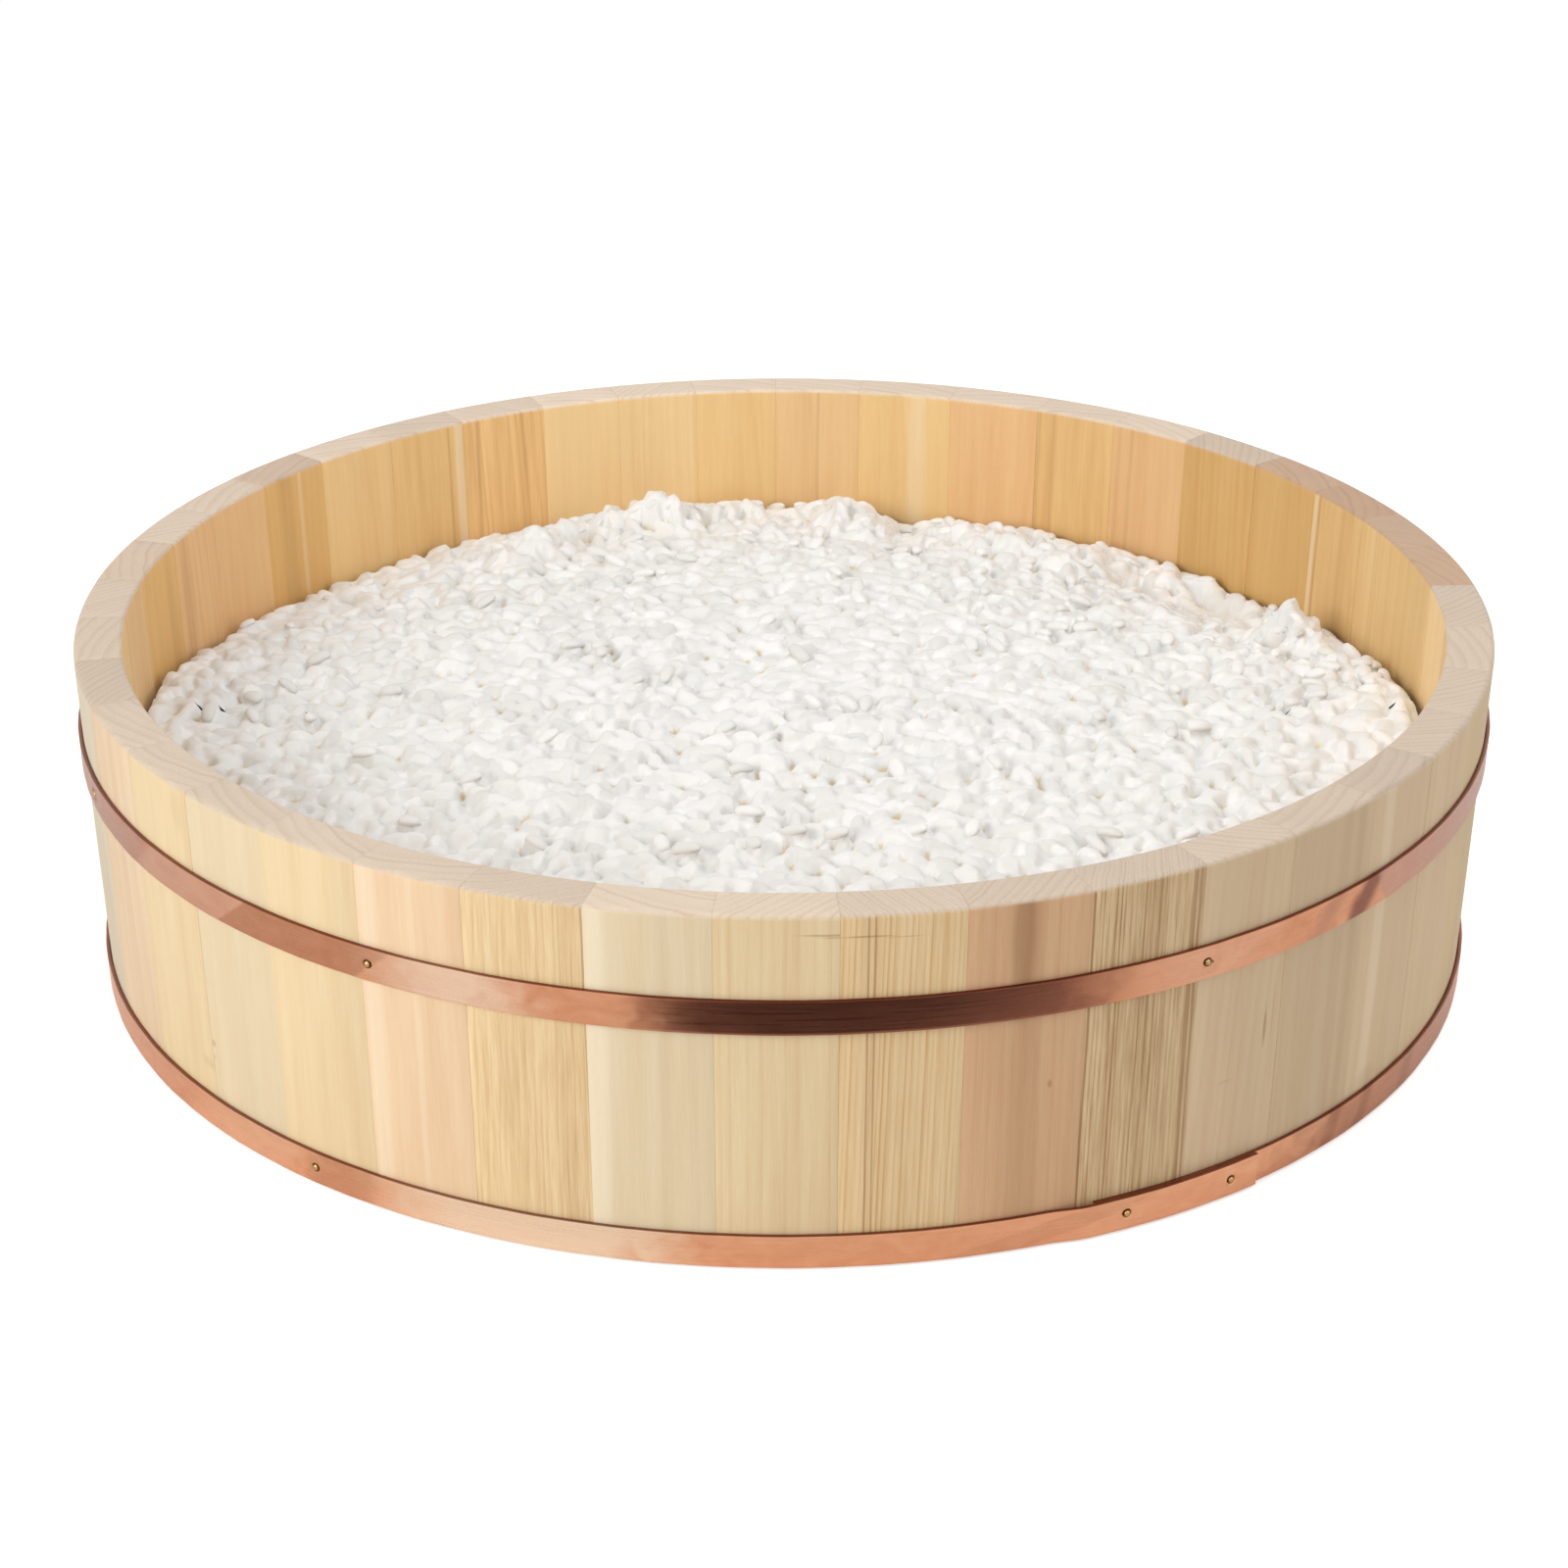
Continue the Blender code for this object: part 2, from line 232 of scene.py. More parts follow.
for name, (azimuth, elevation, away, size, watts, tint) in studio["lamps"].items():
    target = Vector(studio["lampsAimAt"])
    rise = math.radians(elevation)
    spot = target + around(away * math.cos(rise), azimuth, away * math.sin(rise))
    bpy.ops.object.light_add(type="AREA", location=spot)
    lamp = bpy.context.object
    lamp.name = lamp.data.name = name
    lamp.rotation_euler = (target - spot).to_track_quat("-Z", "Y").to_euler()
    lamp.data.shape = "DISK"
    lamp.data.size = size
    lamp.data.energy = watts
    lamp.data.color = hexColour(tint)[:3]

# the sky lights softly, and is white where the camera or a polished surface sees it
world = bpy.data.worlds.new("whiteStudio")
bpy.context.scene.world = world
world.use_nodes = True
add = partial(addNode, world.node_tree)
rays = add("LightPath").node.outputs
seen = add("Math.ADD", (rays["Is Camera Ray"], rays["Is Glossy Ray"]))
seen = add("Math.ADD", (seen, rays["Is Transmission Ray"]), use_clamp=True)
fillSockets(world.node_tree.nodes["Background"], {
    "Strength": add("MapRange", (seen, 0.0, 1.0, studio["skyStrength"], 1.0)),
    "Color": add("Mix", (seen, studio["skyTint"], "#ffffff")),
})

# pale floor: it keeps the tub's shadow, and glows a little where the camera or the copper sees it
bpy.ops.mesh.primitive_plane_add(size=studio["floorSize"], location=(0.0, 0.0, 0.0))
floor = bpy.context.object
floor.name = "floor"
material, shader, add = newMaterial("white paper floor, matt", {
    "Base Color": (studio["floorWhite"],) * 3 + (1.0,),
    "Roughness": 1.0,
    "Specular IOR Level": 0.0,
    "Emission Color": "#ffffff",
})
rays = add("LightPath").node.outputs
glint = add("Math.ADD", (rays["Is Glossy Ray"], rays["Is Transmission Ray"]), use_clamp=True)
glint = add("Math.MULTIPLY", (glint, studio["floorGlint"]))
glow = add("Math.MULTIPLY_ADD", (rays["Is Camera Ray"], studio["floorGlow"], glint))
fillSockets(shader, {"Emission Strength": glow})
floor.data.materials.append(material)

# a dark card lying in front, that only the polished copper sees
(left, front), (right, back) = studio["cardCorners"]
bpy.ops.mesh.primitive_plane_add(size=1.0, location=((left + right) / 2, (front + back) / 2, 0.001))
card = bpy.context.object
card.name = "darkCard"
card.scale = (right - left, back - front, 1.0)
card.visible_camera = card.visible_diffuse = False
card.visible_transmission = card.visible_shadow = False
material = newMaterial("dark card", {"Base Color": studio["cardColour"], "Roughness": 1.0})[0]
card.data.materials.append(material)
print("room ready")

# Sawara cypress, planed and left bare: pale early wood between thin late-wood lines, with a
# silky, nearly matt face. "early" and "late" are the two ends of each board's colour.
woodTones = {
    "cream": {"early": "#f6e2bb", "late": "#e6c590"},
    "honey": {"early": "#f3dbad", "late": "#dcb279"},
    "straight": {"early": "#f0d5a4", "late": "#c4904f"},
    "rosy": {"early": "#f3dab4", "late": "#dba87a"},
    "brown": {"early": "#edcf9f", "late": "#ae7f49"},
    "tan": {"early": "#f0d6ae", "late": "#d6ab7b"},
    "amber": {"early": "#f6d59a", "late": "#dba564", "slot": "honey"},
    "apricot": {"early": "#f7d8ae", "late": "#e0aa78", "slot": "rosy"},
    "pale": {"early": "#f2e3c6", "late": "#dfc8a2", "slot": "cream"},
    "sand": {"early": "#fbdfb5", "late": "#e6bd8a", "slot": "tan"},
    "russet": {"early": "#ffd2a0", "late": "#e3a273", "slot": "brown"},
}

# How a board was sawn from the trunk. The ring lines come from circles round the pith: pith is
# how far it lies from the stave's middle in mm (through the wall, along the wall), spacing is
# the ring width in mm, drawn no finer than 1 mm so that it shows.
woodFigures = {
    "plain": {"pith": (-75.0, 22.0), "spacing": 3.4, "ringStrength": 0.12, "wander": 1.6,
              "tilt": 2.0, "fibre": 0.14, "streak": 0.26, "relief": 1.0},
    "rift": {"pith": (-70.0, 70.0), "spacing": 2.1, "ringStrength": 0.26, "wander": 1.0,
             "tilt": 1.5, "fibre": 0.16, "streak": 0.28, "relief": 1.0},
    "fine": {"pith": (-60.0, 130.0), "spacing": 1.35, "ringStrength": 0.52, "wander": 0.4,
             "tilt": 0.4, "fibre": 0.18, "streak": 0.18, "relief": 1.5},
    "wavy": {"pith": (-60.0, 45.0), "spacing": 1.1, "ringStrength": 0.22, "wander": 2.2,
             "tilt": 2.5, "fibre": 0.34, "streak": 0.18, "relief": 2.2},
    "ridged": {"pith": (-60.0, 105.0), "spacing": 1.05, "ringStrength": 0.64, "wander": 1.3,
               "tilt": 1.2, "fibre": 0.58, "streak": 0.36, "relief": 3.4},
}
woodFinish = {
    # the outside is painted shade, a little darker and cooler; the inside's warm honey is partly
    # the wetted wood and partly painted warm bounce light
    "outsidePaintedShade": "#f7f9ff",
    "insideWarmthAndBounce": "#fff2dc",  # the wetted inside has turned a warm honey
    "rimEarly": "#e1d0bc",  # end grain on the rim, paler and pinker
    "rimLate": "#c2a588",
    "rimBrown": "#d2ac8a",  # where the saw scorched it
    "rimDepth": 0.0011,
    "darkMark": "#8a5a30",
    "paleMark": "#fff3da",
    "roughness": (0.46, 0.62),
    "bump": 0.00007,
}


def growthRings(add, local, drift, wood, side):
    # how far each point is late wood: thin lines, counted outwards from the pith
    grown = add("VectorMath.ADD", (local, drift))
    pith = (-wood["pith"][0] * 0.001, -side * wood["pith"][1] * 0.001, 0.0)
    leaning = (math.radians(wood["tilt"]), math.radians(-wood["tilt"] * 0.6), 0.0)
    fromPith = add("Mapping", {"Vector": grown, "Rotation": leaning, "Location": pith})
    flat = add("VectorMath.MULTIPLY", (fromPith, (1.0, 1.0, 0.0)))
    away = add("VectorMath.LENGTH", (flat,), out="Value")
    rings = add("Math.DIVIDE", (away, wood["spacing"] * 0.001))
    uneven = add("TexNoise", {"W": rings, "Scale": 0.45, "Detail": 1.0}, noise_dimensions="1D")
    rings = add("Math.MULTIPLY_ADD", (uneven, 1.6, rings))
    ringNumber = add("Math.FLOOR", (rings,))
    ringPart = add("Math.FRACT", (rings,))
    profile = add("ValToRGB", (ringPart,))
    ramp = profile.node.color_ramp
    for end in (0, 1):
        ramp.elements[end].position, ramp.elements[end].color = end, (0.35, 0.35, 0.35, 1.0)
    for position, value in ((0.12, 0.0), (0.5, 0.07), (0.86, 0.85), (0.93, 1.0)):
        ramp.elements.new(position).color = (value, value, value, 1.0)
    eachRing = add("TexWhiteNoise", {"W": ringNumber}, noise_dimensions="1D")
    eachRing = add("MapRange", (eachRing, 0.0, 1.0, 0.35, 1.0))
    return add("Math.MULTIPLY", (profile, eachRing))


def endGrain(add, colour, local, height, lateWood, rim):
    # the sawn top of a stave: rim is how bright it is, partly painted light, and how far it has
    # browned
    pores = add("TexNoise", {"Vector": local, "Scale": 1400.0, "Detail": 2.0})
    dark = add("Math.MULTIPLY", (lateWood, 0.45))
    dark = add("Math.MULTIPLY_ADD", (pores, 0.5, dark))
    dark = add("Math.SUBTRACT", (dark, 0.12), use_clamp=True)
    ends = add("Mix", (dark, woodFinish["rimEarly"], woodFinish["rimLate"]))
    if rim[1] > 0.0:
        ends = add("Mix", (rim[1], ends, woodFinish["rimBrown"]), blend_type="MULTIPLY")
    ends = add("VectorMath.SCALE", {0: ends, "Scale": rim[0]})
    low, high = [tub["height"] - woodFinish["rimDepth"] * share for share in (1.0, 0.3)]
    onRim = add("MapRange", (height, low, high), interpolation_type="SMOOTHSTEP")
    return add("Mix", (onRim, colour, ends))


def planedWood(name, tone, figure, side, turn, shift, shade, marks=(), rim=None):
    # turn brings the piece into its own frame: x through it, y across its face, z along the
    # grain. Only a stave has a rim.
    wood = {**woodTones[tone], **woodFigures[figure]}
    material, shader, add = newMaterial(name, {"Specular IOR Level": 0.35})
    place = add("TexCoord", out="Object")
    face = add("Mapping", {"Vector": place, "Rotation": turn})
    local = add("VectorMath.ADD", (face, shift))

    # slow wander of the rings, longer along the grain than across it
    slow = add("Mapping", {"Vector": local, "Scale": (1.0, 1.0, 0.14)})
    drift = add("TexNoise", {"Vector": slow, "Scale": 55.0, "Detail": 2.0}, out="Color")
    drift = add("VectorMath.SUBTRACT", (drift, (0.5, 0.5, 0.5)))
    drift = add("VectorMath.SCALE", {0: drift, "Scale": wood["wander"] * 0.002})
    lateWood = growthRings(add, local, drift, wood, side)

    # fibres 0.6 mm wide and streaks of some 4 mm, both many times longer along the grain
    thin = add("Mapping", {"Vector": local, "Scale": (1.0, 1.0, 0.022)})
    fibre = add("TexNoise", {"Vector": thin, "Scale": 1500.0, "Detail": 3.0, "Roughness": 0.6})
    fibre = add("MapRange", (fibre, 0.3, 0.7, -0.5, 0.5))
    streak = add("TexNoise", {"Vector": thin, "Scale": 260.0, "Detail": 2.0})
    streak = add("MapRange", (streak, 0.3, 0.7, -0.5, 0.5))
    dark = add("Math.MULTIPLY_ADD", (lateWood, wood["ringStrength"], 0.18))
    dark = add("Math.MULTIPLY_ADD", (fibre, wood["fibre"], dark))
    dark = add("Math.MULTIPLY_ADD", (streak, wood["streak"], dark), use_clamp=True)
    colour = add("Mix", (dark, wood["early"], wood["late"]))
    # the board's brightness: its own tone, with painted light and shade folded in
    colour = add("VectorMath.SCALE", {0: colour, "Scale": shade})

    if rim:
        # which side of the wall a point is on decides its tint: the inside warmer, partly wetted
        # wood and partly painted bounce light, the outside darker and cooler as painted shade
        height = add("SeparateXYZ", (place,), out="Z")
        plan = add("VectorMath.MULTIPLY", (place, (1.0, 1.0, 0.0)))
        radius = add("VectorMath.LENGTH", (plan,), out="Value")
        core = tub["footRadius"] - tub["wall"] / 2
        core = add("Math.MULTIPLY_ADD", (height, math.tan(lean), core))
        inside = add("Math.LESS_THAN", (radius, core))
        sideTint = add("Mix", (inside, woodFinish["outsidePaintedShade"], woodFinish["insideWarmthAndBounce"]))
        colour = add("VectorMath.MULTIPLY", (colour, sideTint))

    # knots, scratches and stripes
    marked = add("VectorMath.ADD", (face, drift))
    for across, high, halfAcross, halfHigh, depth in marks:
        scale = (0.0, 1000.0 / halfAcross, 1000.0 / halfHigh)
        centre = (0.0, -across / halfAcross, -high / halfHigh)
        spot = add("Mapping", {"Vector": marked, "Scale": scale, "Location": centre})
        spot = add("VectorMath.LENGTH", (spot,), out="Value")
        spot = add("MapRange", (spot, 1.0, 0.3, 0.0, abs(depth)), interpolation_type="SMOOTHSTEP")
        ink = woodFinish["darkMark" if depth > 0 else "paleMark"]
        colour = add("Mix", (spot, colour, ink))

    if rim:
        colour = endGrain(add, colour, local, height, lateWood, rim)
    blotch = add("TexNoise", {"Vector": slow, "Scale": 38.0, "Detail": 2.0})
    blotch = add("MapRange", (blotch, 0.3, 0.7, 0.96, 1.03))
    colour = add("VectorMath.SCALE", {0: colour, "Scale": blotch})
    smooth, rough = woodFinish["roughness"]
    relief = add("Math.MULTIPLY_ADD", (lateWood, 0.6, fibre))
    depth = woodFinish["bump"] * wood["relief"]
    fillSockets(shader, {
        "Base Color": colour,
        "Roughness": add("MapRange", (dark, 0.0, 1.0, rough, smooth)),
        "Normal": add("Bump", {"Height": relief, "Strength": 0.5, "Distance": depth}),
    })
    return material


staveSettings = {
    "seed": 41,
    "firstSeam": -14.0,
    "gap": 0.00002,
    "rimRounding": 0.0014,
    "footChamfer": 0.0008,
    "grooveLow": 0.0077,
    "grooveHigh": 0.0183,
    "grooveDepth": 0.004,
    "edgeWear": 0.00007,
    "facets": 7,
    "proud": 0.00005,
    "brownEnds": {13: 0.6, 14: 0.55, 15: 0.65, 16: 0.6, 17: 0.1, 29: 0.25, 32: 0.15},
    # Width at the rim in mm, tone, figure, how bright the faces and the rim are, and the marks,
    # each with its place along the wall and its height, its half widths, all in mm, and how dark
    # it is. The staves follow each other from the first seam round the tub, towards the right.
    # The two brightness numbers are partly each board's own tone and partly painted light and
    # shade: the faces are darker on the front right, the rims brighter at the back and darker at
    # the front.
    "rows": (
        (28.5, "cream", "plain", 0.95, 1.07, ((-12.2, 45, 3.6, 400, -0.4),
            (3.0, 45, 2.2, 400, 0.06), (9.0, 45, 1.5, 400, 0.05))),
        (27.5, "honey", "rift", 0.99, 1.05, ((12.0, 85.3, 9.0, 0.4, 0.4),
            (14.0, 84.7, 6.0, 0.3, 0.35))),
        (28.0, "straight", "fine", 1.06, 0.95, ((-7.8, 45, 0.35, 500, 0.5),
            (-6.3, 45, 0.35, 500, 0.45), (-8.0, 84.6, 8.0, 0.35, 0.45),
            (0.0, 84.2, 6.0, 0.25, 0.25))),
        (28.5, "russet", "rift", 0.77, 0.89, ((-1.0, 82, 4.5, 26, 0.42), (0.0, 45, 6.0, 300, 0.14),
            (6.3, 42.5, 0.7, 1.6, 0.4))),
        (29.0, "brown", "ridged", 0.95, 0.88, ((-13.9, 45, 0.5, 500, 0.6),
            (12.2, 45, 0.7, 400, 0.45), (13.6, 45, 0.5, 500, 0.4))),
        (26.5, "sand", "rift", 0.81, 0.92, ((8.8, 42, 0.7, 7.0, 0.42), (11.0, 47, 0.3, 12.0, 0.18),
            (-3.0, 31, 4.0, 0.5, 0.12))),
        (29.0, "tan", "plain", 0.83, 0.87, ((4.5, 45, 3.0, 400, 0.08), (10.0, 60, 2.0, 300, 0.1))),
        (26.5, "sand", "plain", 0.80, 0.80, ((-6.5, 45, 3.0, 400, -0.22),
            (-4.0, 12, 6.0, 4.0, 0.12))),
        (27.5, "sand", "rift", 0.83, 0.88, ()),
        (29.0, "honey", "rift", 0.85, 0.88, ((-2.0, 48, 2.0, 3.0, 0.12),)),
        (29.0, "tan", "plain", 0.96, 0.90, ()),
        (29.0, "cream", "rift", 0.98, 0.85, ()),
        (28.5, "honey", "plain", 0.89, 0.97, ()),
        (25.5, "honey", "rift", 0.91, 0.94, ()),
        (25.5, "straight", "plain", 0.91, 0.94, ((9.3, 45, 0.9, 500, 0.3),
            (11.2, 45, 1.5, 500, -0.3))),
        (27.5, "amber", "plain", 0.78, 0.97, ()),
        (28.5, "amber", "rift", 0.78, 0.88, ()),
        (26.5, "apricot", "plain", 0.88, 1.04, ((6.5, 45, 1.0, 500, 0.12),
            (10.5, 45, 1.0, 500, 0.12))),
        (26.5, "straight", "plain", 1.00, 1.03, ((7.0, 45, 1.0, 500, 0.16),
            (11.5, 45, 1.0, 500, 0.16))),
        (29.0, "apricot", "plain", 0.94, 1.06, ()),
        (29.5, "honey", "plain", 0.99, 1.06, ((-4.0, 45, 4.0, 400, -0.25),)),
        (26.5, "tan", "plain", 0.99, 1.09, ((0.0, 45, 0.8, 500, 0.16),)),
        (25.5, "honey", "plain", 0.99, 1.13, ()),
        (25.0, "cream", "rift", 0.98, 1.13, ()),
        (25.0, "cream", "plain", 1.01, 1.18, ()),
        (28.0, "brown", "rift", 1.13, 1.07, ((-6.0, 45, 1.2, 500, 0.12), (8.5, 45, 0.8, 500, 0.2))),
        (26.5, "straight", "plain", 1.02, 1.00, ((-10.5, 45, 2.2, 500, -0.35),
            (-7.0, 45, 0.6, 500, 0.22))),
        (27.5, "honey", "plain", 1.02, 1.11, ()),
        (26.0, "amber", "plain", 0.90, 0.98, ((-3.0, 45, 1.2, 500, -0.2),
            (3.0, 45, 4.0, 500, 0.16))),
        (26.5, "apricot", "plain", 0.93, 1.02, ()),
        (25.5, "apricot", "rift", 0.91, 1.02, ((6.0, 70, 5.0, 30, 0.18),)),
        (28.5, "amber", "plain", 0.88, 1.02, ((-9.0, 60, 5.0, 40, 0.2),)),
        (27.0, "tan", "rift", 0.92, 0.98, ()),
        (29.0, "honey", "plain", 0.90, 0.95, ()),
        (29.0, "pale", "rift", 0.86, 0.86, ((8.0, 40, 3.5, 25, 0.08),)),
        (29.0, "rosy", "plain", 0.97, 0.97, ()),
        (28.5, "honey", "plain", 1.00, 0.98, ((10.0, 83, 4.0, 8.0, 0.08),
            (11.5, 17, 4.0, 2.0, 0.12))),
        (27.5, "cream", "plain", 0.93, 0.95, ((-13.2, 24, 1.3, 1.4, 0.3),
            (-14.0, 20, 1.5, 1.2, 0.25))),
        (28.5, "honey", "plain", 1.03, 1.00, ((10.0, 40, 5.0, 300, 0.06),)),
        (27.5, "apricot", "plain", 1.02, 0.99, ((-10.5, 45, 3.2, 400, -0.3),
            (1.0, 45, 1.2, 400, -0.15))),
        (28.5, "straight", "wavy", 1.09, 0.94, ((14.0, 45, 0.35, 500, 0.35),
            (9.5, 45, 3.0, 400, 0.1), (-5.0, 40, 3.0, 20, 0.08))),
    ),
}


def staveOutline():
    # a stave seen from its edge, drawn flat over +X: lean, groove for the bottom, rounded rim
    thick, tall, outer = tub["wall"], tub["height"], tub["footRadius"]
    bpy.ops.mesh.primitive_plane_add(size=1.0, location=(outer - thick / 2, 0.0, tall / 2),
                                     rotation=(math.pi / 2, 0.0, 0.0))
    outline = bpy.context.object
    outline.name = "staveOutline"
    outline.scale = (thick, tall, 1.0)
    applyPlace(outline)
    pick(outline, "VERT", lambda v: v.co.z > tall * 0.9)
    bpy.ops.transform.translate(value=(tub["rimRadius"] - outer, 0.0, 0.0))
    levels = staveSettings["grooveLow"], staveSettings["grooveHigh"]
    for level in levels:
        cut((0.0, 0.0, level), (0.0, 0.0, 1.0))
    middle = sum(levels) / 2
    bottom = insideAt(middle) + staveSettings["grooveDepth"]
    cut((bottom, 0.0, 0.0), (1.0, 0.0, 0.0))
    leaveEdit()
    pick(outline, "FACE", lambda f: f.center.x < bottom and abs(f.center.z - middle) < 0.004)
    bpy.ops.mesh.delete(type="FACE")
    ends = ((tall, tub["rimRadius"], staveSettings["rimRounding"], 5),
            (0.0, outer, staveSettings["footChamfer"], 1))
    for level, radius, size, segments in ends:
        pick(outline, "VERT", lambda v: abs(v.co.z - level) < 0.00001
             and abs(v.co.x - radius + thick / 2) > thick * 0.45)
        bpy.ops.mesh.bevel(offset=size, segments=segments, affect="VERTICES")
        leaveEdit()
    return outline


def makeStaves():
    outline = staveOutline()
    chance = np.random.default_rng(staveSettings["seed"])
    total = sum(row[0] for row in staveSettings["rows"])
    gap = degreesOf(staveSettings["gap"], tub["rimRadius"])
    seam = staveSettings["firstSeam"]
    for i, (width, tone, figure, shade, rimToneAndPaintedLight, marks) in enumerate(staveSettings["rows"]):
        turn = 360.0 * width / total
        proud = staveSettings["proud"] * chance.uniform(-1.0, 1.0)
        stave = copyOf(outline, f"planedStave{i + 1:02d}")
        stave.location = around(proud, seam + turn / 2, 0.0)
        stave.rotation_euler = (0.0, 0.0, math.radians(seam + turn - gap / 2 - 90.0))
        applyPlace(stave)
        editAll(stave)
        bpy.ops.mesh.spin(steps=staveSettings["facets"], angle=math.radians(turn - gap),
                          center=(0.0, 0.0, 0.0), axis=(0.0, 0.0, 1.0))
        leaveEdit()
        cleanMesh(stave)
        bevelEdges(stave, staveSettings["edgeWear"], 2, 50.0)
        bpy.ops.object.shade_smooth_by_angle(angle=math.radians(35.0))
        # each board comes from another trunk: its own pith side, distance and place along it
        side = -1.0 if chance.random() < 0.5 else 1.0
        spin = math.radians(90.0 - seam - turn / 2)
        fromPith = chance.uniform(-0.012, 0.012) - tub["rimRadius"]
        shift = (fromPith, chance.uniform(-0.004, 0.004), 0.0)
        rim = (rimToneAndPaintedLight, staveSettings["brownEnds"].get(i + 1, 0.0))
        wood = planedWood(f"planed sawara stave {i + 1:02d} {tone}", tone, figure, side,
                          (0.0, 0.0, spin), shift, shade, marks, rim)
        stave.data.materials.append(wood)
        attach(stave, "tub")
        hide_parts(f"stave_{i + 1:02d}")
        seam += turn
    bpy.data.objects.remove(outline)


makeStaves()
print("41 staves stand")

# the four bottom boards keep their solids; their grain runs from side to side
for i in range(1, 5):
    board = nodes[f"bottom_board_{i}"]
    wood = planedWood(f"planed sawara bottom board {i}", "honey", "rift", 1.0,
                      (0.0, math.radians(90.0), 0.0), (0.013 * i, 0.021 * i, 0.0), 0.97)
    board.data.materials.clear()
    board.data.materials.append(wood)
print("bottom boards have their grain")

hoopSettings = {
    "width": 0.0085,
    "outerFace": 0.0011,  # proud of the wood
    "innerFace": 0.00014,
    "corner": 0.00018,
    "lapLength": 0.045,
    "lapRamp": 0.010,
    "lapRise": 0.00015,  # between the two layers
    "lapClear": 0.002,
    "lapPinSetback": 0.008,
    "rows": 12,
    "rampSteps": 12,
    "step": 1.0,
    "fineStep": 0.16,
    "nearPin": 1.3,  # degrees on each side of a pin that have the fine steps
    "dimple": 0.00040,
    "lip": 0.00020,
    "dimpleRadius": 0.0011,
    "upper": {
        "middle": 0.090 - 0.0205 - 0.00425,
        "lapAzimuth": 108.0,
        "copper": ("#ecb08a", "#d18862"),
        "pins": (-69.0, -31.0, 31.6, 171.0),
        # from, to, softness and slant in degrees, darkening (below zero it lightens), and how grey;
        # most rows are tarnish, and the rows with a note are painted highlights, a painted dark
        # reflection, or a soft darkening
        "tarnishAndPaintedSheen": (
            (-76.0, -57.0, 1.2, 2.0, 0.28, 0.30),
            (-57.0, -44.7, 0.30, 3.4, -0.08, 0.30),
            (-44.7, -30.6, 0.30, 3.4, 0.30, 0.00),
            # painted highlight
            (-29.0, -19.5, 4.5, 0.0, -0.62, 0.00),
            # painted dark reflection across the front
            (-9.0, 23.0, 4.0, 0.0, 0.86, 0.10),
            # painted highlight
            (27.0, 36.0, 4.0, 0.0, -0.16, 0.00),
            (42.6, 44.4, 0.9, 2.4, 0.30, 0.20),
            (46.8, 49.4, 0.8, 2.0, 0.85, 0.10),
            (50.3, 76.0, 0.35, -1.4, 0.24, 0.55),
        ),
    },
    "lower": {
        "middle": 0.0006 + 0.00425,
        "lapAzimuth": 30.6,
        # lighter than the upper hoop's copper: painted brighter reflection of the floor close by
        "copper": ("#fbc39c", "#e6a27b"),
        "pins": (-37.8, 98.0, 160.0, -100.0),
        "tarnishAndPaintedSheen": (
            (-38.6, -32.0, 0.8, 1.0, 0.20, 0.00),
            (-72.0, -53.0, 2.0, 2.0, 0.12, 0.00),
            # painted highlight
            (-51.0, -39.5, 3.0, 2.0, -0.20, 0.00),
            # painted highlight
            (-30.0, -9.0, 5.0, 0.0, -0.90, 0.00),
            (17.0, 23.5, 0.4, 12.0, 0.12, 0.00),
            # a broad soft darkening over the right side
            (42.0, 76.0, 7.0, 0.0, 0.40, 0.05),
            (46.0, 47.6, 0.5, 1.2, 0.30, 0.00),
            (50.6, 52.0, 0.5, 1.2, 0.30, 0.00),
            (57.4, 59.4, 0.7, 1.2, 0.25, 0.00),
        ),
    },
}


